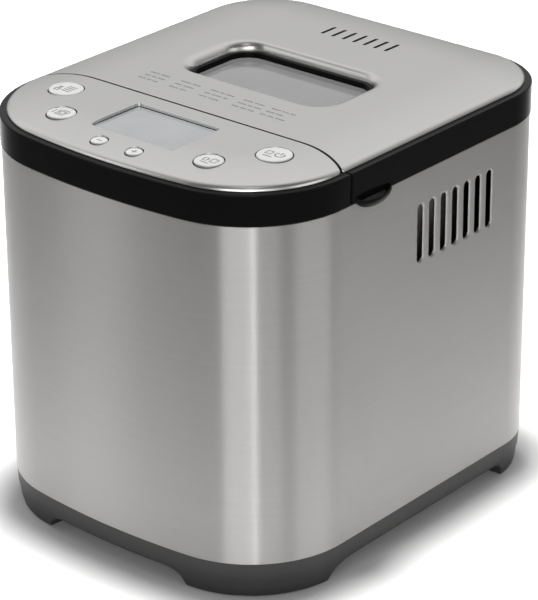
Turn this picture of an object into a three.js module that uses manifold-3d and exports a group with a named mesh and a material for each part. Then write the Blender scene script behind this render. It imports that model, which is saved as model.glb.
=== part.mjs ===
// Household bread machine, about 270 x 316 x 295 mm, as an assembly of separate pieces.
// Millimetres, +Z up, front towards -Y. The origin is on the floor, under the middle of the whole machine.
// The body is a steel sheet wrapped round a plastic base. A hinged lid covers the rear two thirds,
// and a fixed control housing fills the front. The baking chamber holds a lift-out pan with one paddle,
// which a belt-driven upright shaft turns from below.
import * as THREE from 'three';
import { mergeVertices } from 'three/addons/utils/BufferGeometryUtils.js';
import Module from 'manifold-3d';

const wasm = await Module();
wasm.setup();

// ---- Driving dimensions --------------------------------------------------------------------------

const BODY_WIDTH = 269.4; // across the flat sides
const BODY_LENGTH = 316.4; // from the crest of the bowed front to the flat back
const BOW_RADIUS = 541; // plan radius of the bowed front
const FRONT_CORNER = 77; // plan radius of the front corners
const REAR_CORNER = 55; // plan radius of the rear corners
const REAR_OVERHANG = 3; // the cord gland stands this far out of the back

const FOOT_CLEARANCE = 0.8; // rubber pads stand this far below the feet
const BASE_UNDERSIDE = 12; // the base between the feet
const BASE_FLOOR = 15; // inside of the base
const SHELL_BOTTOM = 26.7;
const SHELL_TOP = 264.9;
const BAND_BOTTOM = 265.3; // the black band that the lid and the control housing share
const BAND_TOP = 286.6;
const COVER_BOTTOM = 287;
const TOP_Z = 295; // crest of the silver covers
const GAP = 0.4; // running and fitting gap between neighbouring pieces

const SHELL_INSET = 0.8; // steel sheet behind the band's face
const SHEET = 0.8; // steel sheet thickness
const LEDGE_INSET = 5; // black ledge left round the silver covers
const CROWN_START = 8; // the crown begins at this inset
const CROWN_END = 48; // and is level from here on
const CROWN_RISE = 4.6;
const COVER_WALL = 2;

const SEAM_Y = -64.8; // split between fascia and lid, straight across the middle
const SEAM_STRAIGHT = 95; // half length of the straight stretch
const SEAM_RADIUS = 70; // it then curves forward to the sides
const BAND_SEAM_Y = -70; // the same split in the black band

const CHAMBER = { x: 0, y: 25, halfX: 103, halfY: 80, radius: 24 }; // inside of the baking chamber
const CHAMBER_FLOOR = 79.2;
const CHAMBER_TOP = 261.6;
const LINER_SHEET = 1;
const DECK_THICKNESS = 2.9;

const PAN_BOTTOM = 97;
const PAN_RIM = 200;
const PAN_WALL = 1.6;
const HANDLE_PIVOT_Z = 205;
const HANDLE_ARM = 50;
const HANDLE_WIRE = 2;

const ELEMENT_Z = 100;
const ELEMENT_TUBE = 3.3;

const CHASSIS_Z = 58;
const CHASSIS_SHEET = 1.6;
const PULLEY_Z = 39; // middle of the belt
const MAIN_GROOVE = 44; // belt radius on the main pulley
const MOTOR_GROOVE = 7.65; // belt radius on the motor pulley, ratio 5.75
const BELT_THICKNESS = 2;
const BELT_WIDTH = 6;
const MOTOR = { x: -56, y: -100, radius: 30 };

const HINGE = { x: 80, y: 157, z: 262, barrel: 3, pin: 1.3, bore: 1.65, lidHalf: 6, bodyHalf: 12.4 };
const WINDOW = { x: 0, y: 21.7, halfX: 61.5, halfY: 34.2, radius: 19 };
const DISPLAY = { y0: -125.4, y1: -79.8, halfX: 35.6 };
const GRIP = { y: -48.2, halfLength: 17.5, depth: 6.5, drop: 7.8, z: 269 };
const VENT = { count: 7, y0: 2.6, pitch: 12.35, width: 5.2, z0: 201.6, z1: 242 };

const BUTTONS = {
  menu_button: { x: -89.8, y: -91.2, radius: 11.7 },
  colour_button: { x: -63.5, y: -123.1, radius: 9.7 },
  minus_button: { x: -15, y: -139, radius: 5.6 },
  plus_button: { x: 15, y: -139, radius: 5.6 },
  size_button: { x: 63.5, y: -123.1, radius: 9.7 },
  start_button: { x: 89.8, y: -91.2, radius: 11.7 },
};
const BUTTON_PROUD = 0.3;
const BUTTON_TRAVEL = 0.8;

const FLOOR_POSTS = [[98, -104], [-98, -104], [104, 112], [-104, 112]];

// ---- Materials -----------------------------------------------------------------------------------

const finish = (color, roughness, metalness) => new THREE.MeshStandardMaterial({ color, roughness, metalness });
const brushedSteel = finish(0xa8a5a1, 0.38, 1);
const silverPaint = finish(0xbdbcb8, 0.4, 0.6);
const glossBlack = finish(0x0c0c0d, 0.12, 0);
const darkPlastic = finish(0x3a3a3a, 0.5, 0);
const rubber = finish(0x1c1c1c, 0.85, 0);
const whiteKey = finish(0xe0e0dc, 0.45, 0);
const displayGlass = finish(0x9aa0a4, 0.15, 0);
const windowGlass = finish(0x8f9291, 0.08, 0);
const circuitGreen = finish(0x1f5a33, 0.6, 0);
const aluminium = finish(0x9a9b9c, 0.45, 0.9);
const nonStick = finish(0x2b2b2c, 0.5, 0.3);
const zincSteel = finish(0x8e9094, 0.5, 0.9);
const motorSteel = finish(0x5d6064, 0.5, 0.8);
const elementSteel = finish(0x47423d, 0.55, 0.8);
const brass = finish(0xb08d4a, 0.4, 0.9);
const wireSteel = finish(0xb9b9b8, 0.3, 1);

// ---- Solids and booleans -------------------------------------------------------------------------

function solid(geometry) {
  const bare = geometry.clone();
  bare.deleteAttribute('normal');
  bare.deleteAttribute('uv');
  const merged = mergeVertices(bare, 1e-4);
  const place = merged.attributes.position;
  const source = merged.index.array;
  const corners = [];
  for (let i = 0; i < source.length; i += 3) {
    const [a, b, c] = [source[i], source[i + 1], source[i + 2]];
    if (a !== b && b !== c && c !== a) corners.push(a, b, c);
  }
  const point = (i) => new THREE.Vector3().fromBufferAttribute(place, i);
  let volume = 0;
  for (let i = 0; i < corners.length; i += 3) {
    volume += point(corners[i]).dot(point(corners[i + 1]).cross(point(corners[i + 2])));
  }
  if (volume < 0) {
    for (let i = 0; i < corners.length; i += 3) {
      [corners[i], corners[i + 1]] = [corners[i + 1], corners[i]];
    }
  }
  const vertProperties = new Float32Array(place.array);
  const triVerts = new Uint32Array(corners);
  return new wasm.Manifold(new wasm.Mesh({ numProp: 3, vertProperties, triVerts }));
}

const join = (first, ...rest) => rest.reduce((sum, piece) => sum.add(piece), first);
const cut = (first, ...rest) => rest.reduce((sum, piece) => sum.subtract(piece), first);
const common = (first, ...rest) => rest.reduce((sum, piece) => sum.intersect(piece), first);

function block(x0, x1, y0, y1, z0, z1) {
  const box = new THREE.BoxGeometry(x1 - x0, y1 - y0, z1 - z0);
  return solid(box.translate((x0 + x1) / 2, (y0 + y1) / 2, (z0 + z1) / 2));
}

function post(radius, z0, z1, x = 0, y = 0, sides = 18) {
  const cylinder = new THREE.CylinderGeometry(radius, radius, z1 - z0, sides);
  return solid(cylinder.rotateX(Math.PI / 2).translate(x, y, (z0 + z1) / 2));
}

function rodX(radius, x0, x1, y, z, sides = 14) {
  const cylinder = new THREE.CylinderGeometry(radius, radius, x1 - x0, sides);
  return solid(cylinder.rotateZ(Math.PI / 2).translate((x0 + x1) / 2, y, z));
}

function rodY(radius, y0, y1, x, z, sides = 16) {
  const cylinder = new THREE.CylinderGeometry(radius, radius, y1 - y0, sides);
  return solid(cylinder.translate(x, (y0 + y1) / 2, z));
}

// A turned piece about the upright axis through x, y. The profile is a closed loop of [radius, z].
function turned(profile, x = 0, y = 0, sides = 22) {
  const loop = [...profile, profile[0]].map(([r, z]) => new THREE.Vector2(r, z));
  return solid(new THREE.LatheGeometry(loop, sides).rotateX(Math.PI / 2).translate(x, y, 0));
}

function prism(points, z0, z1) {
  const shape = new THREE.Shape(points);
  const geometry = new THREE.ExtrudeGeometry(shape, { depth: z1 - z0, bevelEnabled: false });
  return solid(geometry.translate(0, 0, z0));
}

// An outline in the XZ plane, extruded along Y.
function prismY(points, y0, y1) {
  const shape = new THREE.Shape(points);
  const geometry = new THREE.ExtrudeGeometry(shape, { depth: y1 - y0, bevelEnabled: false });
  return solid(geometry.rotateX(Math.PI / 2).translate(0, y1, 0));
}

// An outline given as (y, z), extruded along X.
function prismX(points, x0, x1) {
  const shape = new THREE.Shape(points);
  const geometry = new THREE.ExtrudeGeometry(shape, { depth: x1 - x0, bevelEnabled: false });
  const turn = new THREE.Matrix4().makeBasis(
    new THREE.Vector3(0, 1, 0), new THREE.Vector3(0, 0, 1), new THREE.Vector3(1, 0, 0));
  return solid(geometry.applyMatrix4(turn).translate(x0, 0, 0));
}

// A solid skinned over stacked outlines that all have the same number of points.
function loft(levels) {
  const count = levels[0].points.length;
  const positions = [];
  const index = [];
  for (const { z, points } of levels) {
    for (const p of points) positions.push(p.x, p.y, z);
  }
  for (let level = 0; level < levels.length - 1; level += 1) {
    for (let i = 0; i < count; i += 1) {
      const a = level * count + i;
      const b = level * count + ((i + 1) % count);
      index.push(a, b, b + count, a, b + count, a + count);
    }
  }
  const cap = (level, upward) => {
    for (const [a, b, c] of THREE.ShapeUtils.triangulateShape(levels[level].points, [])) {
      const first = level * count;
      if (upward) index.push(first + a, first + b, first + c);
      else index.push(first + c, first + b, first + a);
    }
  };
  cap(0, false);
  cap(levels.length - 1, true);
  const geometry = new THREE.BufferGeometry();
  geometry.setAttribute('position', new THREE.Float32BufferAttribute(positions, 3));
  geometry.setIndex(index);
  return solid(geometry);
}

// ---- Outlines ------------------------------------------------------------------------------------

const vectors = (pairs) => pairs.map(([a, b]) => new THREE.Vector2(a, b));

function arcPoints(x, y, radius, from, to, steps) {
  const points = [];
  for (let i = 0; i <= steps; i += 1) {
    const angle = from + ((to - from) * i) / steps;
    points.push(new THREE.Vector2(x + radius * Math.cos(angle), y + radius * Math.sin(angle)));
  }
  return points;
}

// The machine's plan: a bowed front, two large front corners, flat sides and back.
function bodyPoints(inset) {
  const bowY = BOW_RADIUS - BODY_LENGTH / 2;
  const frontX = BODY_WIDTH / 2 - FRONT_CORNER;
  const reach = BOW_RADIUS - FRONT_CORNER;
  const frontY = bowY - Math.sqrt(reach ** 2 - frontX ** 2);
  const tangent = Math.atan2(frontY - bowY, frontX);
  const rearX = BODY_WIDTH / 2 - REAR_CORNER;
  const rearY = BODY_LENGTH / 2 - REAR_CORNER;
  const quarter = Math.PI / 2;
  const front = FRONT_CORNER - inset;
  const rear = REAR_CORNER - inset;
  return [
    ...arcPoints(0, bowY, BOW_RADIUS - inset, -Math.PI - tangent, tangent, 6),
    ...arcPoints(frontX, frontY, front, tangent, 0, 6).slice(1),
    ...arcPoints(rearX, rearY, rear, 0, quarter, 5),
    ...arcPoints(-rearX, rearY, rear, quarter, 2 * quarter, 5),
    ...arcPoints(-frontX, frontY, front, 2 * quarter, Math.PI - tangent, 6).slice(0, -1),
  ];
}

function roundedRectangle(x, y, halfX, halfY, radius, steps = 3) {
  const quarter = Math.PI / 2;
  const [dx, dy] = [halfX - radius, halfY - radius];
  return [
    ...arcPoints(x - dx, y - dy, radius, 2 * quarter, 3 * quarter, steps),
    ...arcPoints(x + dx, y - dy, radius, 3 * quarter, 4 * quarter, steps),
    ...arcPoints(x + dx, y + dy, radius, 0, quarter, steps),
    ...arcPoints(x - dx, y + dy, radius, quarter, 2 * quarter, steps),
  ];
}

const bodyLoft = (levels) => loft(levels.map(([z, inset]) => ({ z, points: bodyPoints(inset) })));
const bodyPrism = (inset, z0, z1) => prism(bodyPoints(inset), z0, z1);

// Distance of a plan point from the machine's outline.
function insetAt(x, y) {
  const points = bodyPoints(0);
  const spot = new THREE.Vector3(x, y, 0);
  const nearest = new THREE.Vector3();
  let distance = Infinity;
  points.forEach((p, i) => {
    const q = points[(i + 1) % points.length];
    const edge = new THREE.Line3(new THREE.Vector3(p.x, p.y, 0), new THREE.Vector3(q.x, q.y, 0));
    edge.closestPointToPoint(spot, true, nearest);
    distance = Math.min(distance, nearest.distanceTo(spot));
  });
  return distance;
}

function crownZ(inset) {
  const share = THREE.MathUtils.clamp((inset - CROWN_START) / (CROWN_END - CROWN_START), 0, 1);
  return TOP_Z - CROWN_RISE * (1 - share) ** 2;
}

// Levels of the silver covers: a rolled edge, then the crown. lower and inner give their inside.
function coverLevels(lower, inner) {
  const edge = [[COVER_BOTTOM, LEDGE_INSET], [289, LEDGE_INSET + 0.5]];
  const crown = [CROWN_START, 14, 24, CROWN_END].map((inset) => [crownZ(inset), inset]);
  const last = CROWN_END + 2;
  return [...edge, ...crown].map(([z, inset]) => [z - lower, Math.min(inset + inner, last)]);
}

// Y of the split between the front covers and the lid, at a distance x from the middle.
function seamY(x) {
  const beyond = Math.max(0, Math.abs(x) - SEAM_STRAIGHT);
  return SEAM_Y - SEAM_RADIUS + Math.sqrt(SEAM_RADIUS ** 2 - beyond ** 2);
}

// Everything in front of the split (side -1) or behind it (side 1), moved away from it by gap.
function seamSide(side, gap, z0, z1, limit = -Infinity) {
  const reach = 150;
  const stations = [-reach, -138, -130, -121, -110, -SEAM_STRAIGHT];
  const right = stations.map((x) => -x).reverse();
  const line = [...stations, ...right].map((x) => {
    const y = Math.max(seamY(Math.min(Math.abs(x), 138)), limit);
    return new THREE.Vector2(x, y + side * gap);
  });
  const far = 200 * side;
  return prism([...line, new THREE.Vector2(reach, far), new THREE.Vector2(-reach, far)], z0, z1);
}

// A tube bent from straight runs. bends holds the size of the bend at each inner corner.
function bentTube(corners, radius, bends, steps) {
  const path = new THREE.CurvePath();
  const at = corners.map((c) => new THREE.Vector3(...c));
  let from = at[0];
  for (let i = 1; i < at.length - 1; i += 1) {
    const before = at[i].clone().sub(at[i - 1]).setLength(bends[i - 1]);
    const after = at[i + 1].clone().sub(at[i]).setLength(bends[i - 1]);
    const start = at[i].clone().sub(before);
    const end = at[i].clone().add(after);
    path.add(new THREE.LineCurve3(from, start));
    path.add(new THREE.QuadraticBezierCurve3(start, at[i].clone(), end));
    from = end;
  }
  path.add(new THREE.LineCurve3(from, at[at.length - 1]));
  const section = new THREE.Shape(arcPoints(0, 0, radius, 0, 2 * Math.PI, 6).slice(0, -1));
  return solid(new THREE.ExtrudeGeometry(section, { steps, bevelEnabled: false, extrudePath: path }));
}

// ---- Assembly ------------------------------------------------------------------------------------

const group = new THREE.Group();
const machine = new THREE.Group();
machine.position.y = -REAR_OVERHANG / 2;
group.add(machine);

function add(name, manifold, material) {
  const mesh = manifold.getMesh();
  const geometry = new THREE.BufferGeometry();
  geometry.setAttribute('position', new THREE.BufferAttribute(mesh.vertProperties, 3));
  geometry.setIndex(new THREE.BufferAttribute(mesh.triVerts, 1));
  geometry.computeVertexNormals();
  const piece = new THREE.Mesh(geometry, material);
  piece.name = name;
  machine.add(piece);
}

const SIDES = { left: -1, right: 1 };

// ---- Base: tray with four corner feet, pads and screws -------------------------------------------

function baseTray() {
  const bowl = bodyLoft([[BASE_UNDERSIDE, 2.8], [15, 1.7], [SHELL_BOTTOM - 0.3, 0.9]]);
  const lip = bodyPrism(SHELL_INSET + SHEET + GAP, 20, 31);
  const skirt = bodyLoft([[FOOT_CLEARANCE, 5], [3, 3.8], [7, 3.1], [BASE_UNDERSIDE + 0.2, 2.7]]);
  const underneath = bodyPrism(22, 0, BASE_UNDERSIDE);
  const [ceiling, middle] = [BASE_UNDERSIDE, 7];
  const frontArch = [[-61.5, 0], [61.5, 0], [54, middle], [43, ceiling], [-43, ceiling], [-54, middle]];
  const sideArch = [[-85.5, 0], [105, 0], [100, middle], [93, ceiling], [-61, ceiling], [-77, middle]];
  const archX = prismY(vectors(frontArch), -170, 170);
  const archY = prismX(vectors(sideArch), -150, 150);
  const feet = cut(skirt, underneath, archX, archY);
  const cavity = bodyPrism(4.6, BASE_FLOOR, 40);
  let tray = cut(join(bowl, lip, feet), cavity);
  for (const [x, y] of FLOOR_POSTS) {
    tray = cut(join(tray, post(6, BASE_FLOOR - 1, CHASSIS_Z - 0.3, x, y)), post(2.4, 10, 60, x, y, 16));
  }
  for (const [x, y] of PAD_SPOTS) tray = cut(tray, post(6.9, 0, 3.1, x, y));
  for (let i = -3; i <= 3; i += 1) {
    tray = cut(tray, block(i * 9 - 1.5, i * 9 + 1.5, 40, 90, 10, 16));
  }
  return tray;
}

const PAD_SPOTS = [[103, -122.8], [-103, -122.8], [109.6, 133], [-109.6, 133]];
const CORNER_NAMES = ['front_right', 'front_left', 'rear_right', 'rear_left'];

add('base_tray', baseTray(), darkPlastic);
CORNER_NAMES.forEach((corner, i) => {
  const [padX, padY] = PAD_SPOTS[i];
  add(`foot_pad_${corner}`, post(6.5, 0, 2.8, padX, padY), rubber);
  const [x, y] = FLOOR_POSTS[i];
  add(`base_screw_${corner}`, join(post(4.2, 9.4, 11.7, x, y, 16), post(2, 11, 62, x, y, 12)), zincSteel);
});

// ---- Outer shell with vents, hinge notches and the cord gland's hole ------------------------------

const GLAND = { x: -60, z: 46 };

function ventSlot(y) {
  const radius = VENT.width / 2;
  const outline = [
    ...arcPoints(y, VENT.z0 + radius, radius, -Math.PI, 0, 4),
    ...arcPoints(y, VENT.z1 - radius, radius, 0, Math.PI, 4),
  ];
  return prismX(outline, -150, 150);
}

function bodyShell() {
  let shell = cut(bodyPrism(SHELL_INSET, SHELL_BOTTOM, SHELL_TOP), bodyPrism(SHELL_INSET + SHEET, 20, 270));
  for (let i = 0; i < VENT.count; i += 1) shell = cut(shell, ventSlot(VENT.y0 + i * VENT.pitch));
  for (const side of Object.values(SIDES)) {
    const half = HINGE.bodyHalf + GAP;
    shell = cut(shell, block(side * HINGE.x - half, side * HINGE.x + half, 150, 170, 258.2, 270));
  }
  return cut(shell, rodY(7, 150, 170, GLAND.x, GLAND.z));
}

add('body_shell', bodyShell(), brushedSteel);

// The gland is a flanged bush with a bore for a cord.
function cordGland() {
  const back = BODY_LENGTH / 2 - SHELL_INSET;
  const body = join(
    rodY(6.6, back - 8, back + 1, GLAND.x, GLAND.z),
    rodY(9.5, back + 0.3, BODY_LENGTH / 2 + REAR_OVERHANG, GLAND.x, GLAND.z),
    rodY(9.5, back - 8, back - SHEET - GAP, GLAND.x, GLAND.z),
  );
  return cut(body, rodY(3.6, back - 20, back + 20, GLAND.x, GLAND.z, 10));
}

add('cord_gland', cordGland(), rubber);

// ---- Deck round the chamber mouth, with the hinge lugs --------------------------------------------

function deckFrame() {
  const inset = SHELL_INSET + SHEET + GAP;
  const plate = bodyPrism(inset, SHELL_TOP - DECK_THICKNESS, SHELL_TOP);
  const skirt = cut(bodyPrism(inset, 250, SHELL_TOP - 1), bodyPrism(inset + 1.8, 240, 270));
  const mouth = prism(
    roundedRectangle(CHAMBER.x, CHAMBER.y, CHAMBER.halfX + 1, CHAMBER.halfY + 1, CHAMBER.radius), 240, 270);
  let deck = cut(join(plate, skirt), mouth);
  for (const side of Object.values(SIDES)) {
    const x = side * HINGE.x;
    const half = HINGE.bodyHalf;
    const lug = join(
      rodX(HINGE.barrel, x - half, x + half, HINGE.y, HINGE.z),
      block(x - half, x + half, 150, HINGE.y, 258.8, SHELL_TOP),
    );
    const notch = HINGE.lidHalf + GAP;
    deck = cut(join(deck, lug),
      block(x - notch, x + notch, 152.6, 165, 240, 270),
      rodX(HINGE.bore, x - 20, x + 20, HINGE.y, HINGE.z));
  }
  return deck;
}

add('deck_frame', deckFrame(), darkPlastic);
for (const [side, sign] of Object.entries(SIDES)) {
  const x = sign * HINGE.x;
  const [pin0, pin1] = [x - HINGE.bodyHalf, x + HINGE.bodyHalf];
  add(`hinge_pin_${side}`, rodX(HINGE.pin, pin0, pin1, HINGE.y, HINGE.z, 16), wireSteel);
}

// ---- Control housing, fascia, display, boards and buttons ----------------------------------------

function bandLevels(bottom) {
  return [[bottom, 0.4], [bottom + 0.8, 0], [BAND_TOP - 0.8, 0], [BAND_TOP, 0.6]];
}

function controlHousing() {
  const outer = common(bodyLoft(bandLevels(BAND_BOTTOM)), seamSide(-1, GAP, 260, 300, BAND_SEAM_Y));
  const room = common(bodyPrism(3, 268, 284), seamSide(-1, 3.4, 260, 300, BAND_SEAM_Y));
  const mouth = common(bodyPrism(10, 280, 300), seamSide(-1, 3.4, 260, 300, BAND_SEAM_Y));
  const places = [[95, -100], [-95, -100], [50, -140], [-50, -140]];
  const standoffs = places.map(([x, y]) => post(3, 267, 276, x, y, 12));
  return join(cut(outer, room, mouth), ...standoffs);
}

function coverShell(side) {
  const outer = common(bodyLoft(coverLevels(0, 0)), seamSide(side, GAP, 280, 300));
  const inner = common(bodyLoft(coverLevels(COVER_WALL, 1.6)), seamSide(side, GAP + 1.8, 280, 300));
  return cut(outer, inner);
}

function controlFascia() {
  const middle = (DISPLAY.y0 + DISPLAY.y1) / 2;
  const halfY = (DISPLAY.y1 - DISPLAY.y0) / 2;
  let fascia = cut(coverShell(-1), prism(roundedRectangle(0, middle, DISPLAY.halfX, halfY, 3, 3), 280, 300));
  for (const { x, y, radius } of Object.values(BUTTONS)) {
    fascia = cut(fascia, post(radius + GAP, 280, 300, x, y, 16));
  }
  return fascia;
}

add('control_housing', controlHousing(), glossBlack);
add('control_fascia', controlFascia(), silverPaint);

const displayMiddle = (DISPLAY.y0 + DISPLAY.y1) / 2;
const displayHalf = (DISPLAY.y1 - DISPLAY.y0) / 2;
const lensOutline = roundedRectangle(0, displayMiddle, DISPLAY.halfX - GAP, displayHalf - GAP, 2.8, 3);
add('lcd_lens', prism(lensOutline, 291.1, 292.7), displayGlass);
add('lcd_module', block(-38, 38, displayMiddle - 25, displayMiddle + 25, 280.4, 290.6), zincSteel);

const boardOutline = (inset, y1, z0, z1) => (
  common(bodyPrism(inset, z0, z1), block(-150, 150, -170, y1, 270, 290))
);
const chipPlaces = [[-60, -100], [20, -90], [60, -100]];
const chips = chipPlaces.map(([x, y]) => block(x - 7, x + 7, y - 6, y + 6, 273.5, 277));
add('control_board', join(boardOutline(15, -73, 276.4, 278), ...chips), circuitGreen);

function keypadMembrane() {
  const sheet = boardOutline(18, -76, 278.4, 279.6);
  const domes = Object.values(BUTTONS).map(({ x, y }) => post(3.2, 279, 281.2, x, y, 10));
  return join(sheet, ...domes);
}

add('keypad_membrane', keypadMembrane(), rubber);

for (const [name, { x, y, radius }] of Object.entries(BUTTONS)) {
  const top = crownZ(insetAt(x, y)) + BUTTON_PROUD;
  const stem = 281.4 + BUTTON_TRAVEL;
  const profile = [
    [0, stem], [2.6, stem], [2.6, top - 6], [radius + 1.2, top - 6], [radius + 1.2, top - 5], [radius, top - 5],
    [radius, top - 0.7], [radius - 0.8, top], [0, top],
  ];
  add(name, turned(profile, x, y, 16), whiteKey);
}

// ---- Baking chamber ------------------------------------------------------------------------------

const chamberOutline = (grow) => roundedRectangle(
  CHAMBER.x, CHAMBER.y, CHAMBER.halfX + grow, CHAMBER.halfY + grow, CHAMBER.radius - 1 + grow);
const SENSOR = { y: 60, z: 140 };
const ELEMENT_LEAD_X = 15;

function chamberLiner() {
  const box = prism(chamberOutline(LINER_SHEET), CHAMBER_FLOOR - LINER_SHEET, CHAMBER_TOP);
  const flange = prism(chamberOutline(6), CHAMBER_TOP - LINER_SHEET, CHAMBER_TOP);
  const inside = prism(chamberOutline(0), CHAMBER_FLOOR, CHAMBER_TOP + 10);
  const shaftHole = post(14, 70, 90, CHAMBER.x, CHAMBER.y);
  const leads = [-1, 1].map((s) => rodY(ELEMENT_TUBE + 1.4, -70, -40, s * ELEMENT_LEAD_X, ELEMENT_Z, 16));
  const probe = rodX(3.6, -115, -95, SENSOR.y, SENSOR.z, 16);
  return cut(join(box, flange), inside, shaftHole, ...leads, probe);
}

add('chamber_liner', chamberLiner(), aluminium);

const socketProfile = [[39, 79.5], [50, 79.5], [50, 81], [42, 81], [42, 88], [39, 88]];
add('pan_socket', turned(socketProfile, CHAMBER.x, CHAMBER.y), zincSteel);

function heatingElement() {
  const [halfX, halfY] = [94, 73];
  const front = CHAMBER.y - halfY;
  const back = CHAMBER.y + halfY;
  const lead = -66;
  const path = [
    [ELEMENT_LEAD_X, lead, ELEMENT_Z],
    [ELEMENT_LEAD_X, front, ELEMENT_Z],
    [halfX, front, ELEMENT_Z],
    [halfX, back, ELEMENT_Z],
    [-halfX, back, ELEMENT_Z],
    [-halfX, front, ELEMENT_Z],
    [-ELEMENT_LEAD_X, front, ELEMENT_Z],
    [-ELEMENT_LEAD_X, lead, ELEMENT_Z],
  ];
  return bentTube(path, ELEMENT_TUBE, [6, 20, 20, 20, 20, 6], 64);
}

add('heating_element', heatingElement(), elementSteel);

for (const [side, sign] of Object.entries(SIDES)) {
  const span = (near, far) => [sign * near, sign * far].sort((a, b) => a - b);
  const [wall0, wall1] = span(97.8, CHAMBER.halfX - 0.3);
  const [shelf0, shelf1] = span(89, CHAMBER.halfX - 0.3);
  const low = ELEMENT_Z - ELEMENT_TUBE - GAP;
  const bracket = join(
    block(wall0, wall1, CHAMBER.y - 6, CHAMBER.y + 6, low - 3, ELEMENT_Z + 4),
    block(shelf0, shelf1, CHAMBER.y - 6, CHAMBER.y + 6, low - 3, low),
  );
  add(`element_bracket_${side}`, bracket, zincSteel);
}

const probeRod = rodX(3, -110, -91, SENSOR.y, SENSOR.z, 16);
const probeBody = join(probeRod, rodX(6, -108, -104.4, SENSOR.y, SENSOR.z, 20));
add('temperature_sensor', probeBody, wireSteel);
add('thermal_fuse', block(-111, -104.4, -10, 12, 150, 156), brass);

// ---- Chassis, drive, motor and electrics ---------------------------------------------------------

function chassisPlate() {
  let plate = bodyPrism(12, CHASSIS_Z, CHASSIS_Z + CHASSIS_SHEET);
  const holes = [
    post(13, 50, 70, CHAMBER.x, CHAMBER.y),
    post(13, 50, 70, MOTOR.x, MOTOR.y),
    prism(roundedRectangle(85, 25, 22, 60, 10), 50, 70),
    prism(roundedRectangle(-85, 25, 22, 60, 10), 50, 70),
    prism(roundedRectangle(0, 125, 50, 14, 8), 50, 70),
  ];
  for (const [x, y] of FLOOR_POSTS) holes.push(post(2.4, 50, 70, x, y, 16));
  plate = cut(plate, ...holes);
  return plate;
}

add('chassis_plate', chassisPlate(), zincSteel);

const chassisTop = CHASSIS_Z + CHASSIS_SHEET + 0.3;
const bearingProfile = [
  [5.5, 50], [12, 50], [12, chassisTop], [26, chassisTop], [26, chassisTop + 3], [13, chassisTop + 3],
  [13, 80.5], [5.5, 80.5],
];
add('drive_bearing', turned(bearingProfile, CHAMBER.x, CHAMBER.y), zincSteel);
add('drive_shaft', post(5, 29, 85.5, CHAMBER.x, CHAMBER.y), wireSteel);

// A flat-belt pulley between two flanges, with a bored hub.
function pulley(groove, flange, bore, hub, x, y, sides) {
  const [low, high] = [PULLEY_Z - 5.5, PULLEY_Z + 5.5];
  const half = BELT_WIDTH / 2 + GAP;
  const web = hub < groove - 8 ? [[groove - 5, high], [groove - 5, low + 5], [hub, low + 5], [hub, high]] : [];
  return turned([
    [bore, low], [flange, low], [flange, PULLEY_Z - half], [groove, PULLEY_Z - half], [groove, PULLEY_Z + half],
    [flange, PULLEY_Z + half], [flange, high], ...web, [bore, high],
  ], x, y, sides);
}

add('main_pulley', pulley(MAIN_GROOVE, MAIN_GROOVE + 4, 5.4, 13, CHAMBER.x, CHAMBER.y, 26), darkPlastic);

function driveCoupler() {
  const hub = turned([[5.4, 82], [14.5, 82], [14.5, 86.2], [5.4, 86.2]], CHAMBER.x, CHAMBER.y);
  const dog = (s) => {
    const [y0, y1] = [CHAMBER.y + s * 6.5, CHAMBER.y + s * 13].sort((a, b) => a - b);
    return block(-4, 4, y0, y1, 85.5, 92.5);
  };
  return join(hub, dog(1), dog(-1));
}

add('drive_coupler', driveCoupler(), zincSteel);

function motorHousing() {
  const low = chassisTop;
  const can = turned([
    [4.3, low], [MOTOR.radius - 2, low], [MOTOR.radius, low + 2], [MOTOR.radius, low + 40],
    [MOTOR.radius - 5, low + 46], [14, low + 48], [14, low + 54], [0, low + 54], [0, low + 48], [4.3, low + 48],
  ], MOTOR.x, MOTOR.y);
  const ears = block(MOTOR.x - 38, MOTOR.x + 38, MOTOR.y - 7, MOTOR.y + 7, low, low + 3);
  return join(can, cut(ears, post(MOTOR.radius - 6, 50, 80, MOTOR.x, MOTOR.y)));
}

add('motor_housing', motorHousing(), motorSteel);
add('motor_shaft', post(3.6, 31, chassisTop + 46, MOTOR.x, MOTOR.y), wireSteel);
add('motor_pulley', pulley(MOTOR_GROOVE, MOTOR_GROOVE + 3.5, 4, 4, MOTOR.x, MOTOR.y, 14), brass);

// Belt outline round both pulleys, at a distance beyond each groove.
function beltOutline(grow) {
  const dx = MOTOR.x - CHAMBER.x;
  const dy = MOTOR.y - CHAMBER.y;
  const heading = Math.atan2(dy, dx);
  const lean = Math.acos((MAIN_GROOVE - MOTOR_GROOVE) / Math.hypot(dx, dy));
  return [
    ...arcPoints(MOTOR.x, MOTOR.y, MOTOR_GROOVE + grow, heading - lean, heading + lean, 8),
    ...arcPoints(CHAMBER.x, CHAMBER.y, MAIN_GROOVE + grow, heading + lean, heading - lean + 2 * Math.PI, 28),
  ];
}

const [beltLow, beltHigh] = [PULLEY_Z - BELT_WIDTH / 2, PULLEY_Z + BELT_WIDTH / 2];
const beltLoop = cut(
  prism(beltOutline(GAP + BELT_THICKNESS), beltLow, beltHigh),
  prism(beltOutline(GAP), beltLow - 1, beltHigh + 1),
);
add('drive_belt', beltLoop, rubber);
add('motor_capacitor', join(post(17, chassisTop, 98, 55, -92, 20), post(3, 97, 104, 50, -92, 12)), darkPlastic);

function powerBoard() {
  const board = block(20, 92, -127, -125.4, chassisTop, 132);
  const parts = [
    block(26, 48, -125.6, -112, 70, 90),
    block(54, 74, -125.6, -113.5, 100, 122),
    block(28, 44, -125.6, -118, 104, 124),
    block(76, 90, -125.6, -116, 66, 84),
  ];
  return join(board, ...parts);
}

add('power_board', powerBoard(), circuitGreen);

// ---- Bread pan -----------------------------------------------------------------------------------

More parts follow.
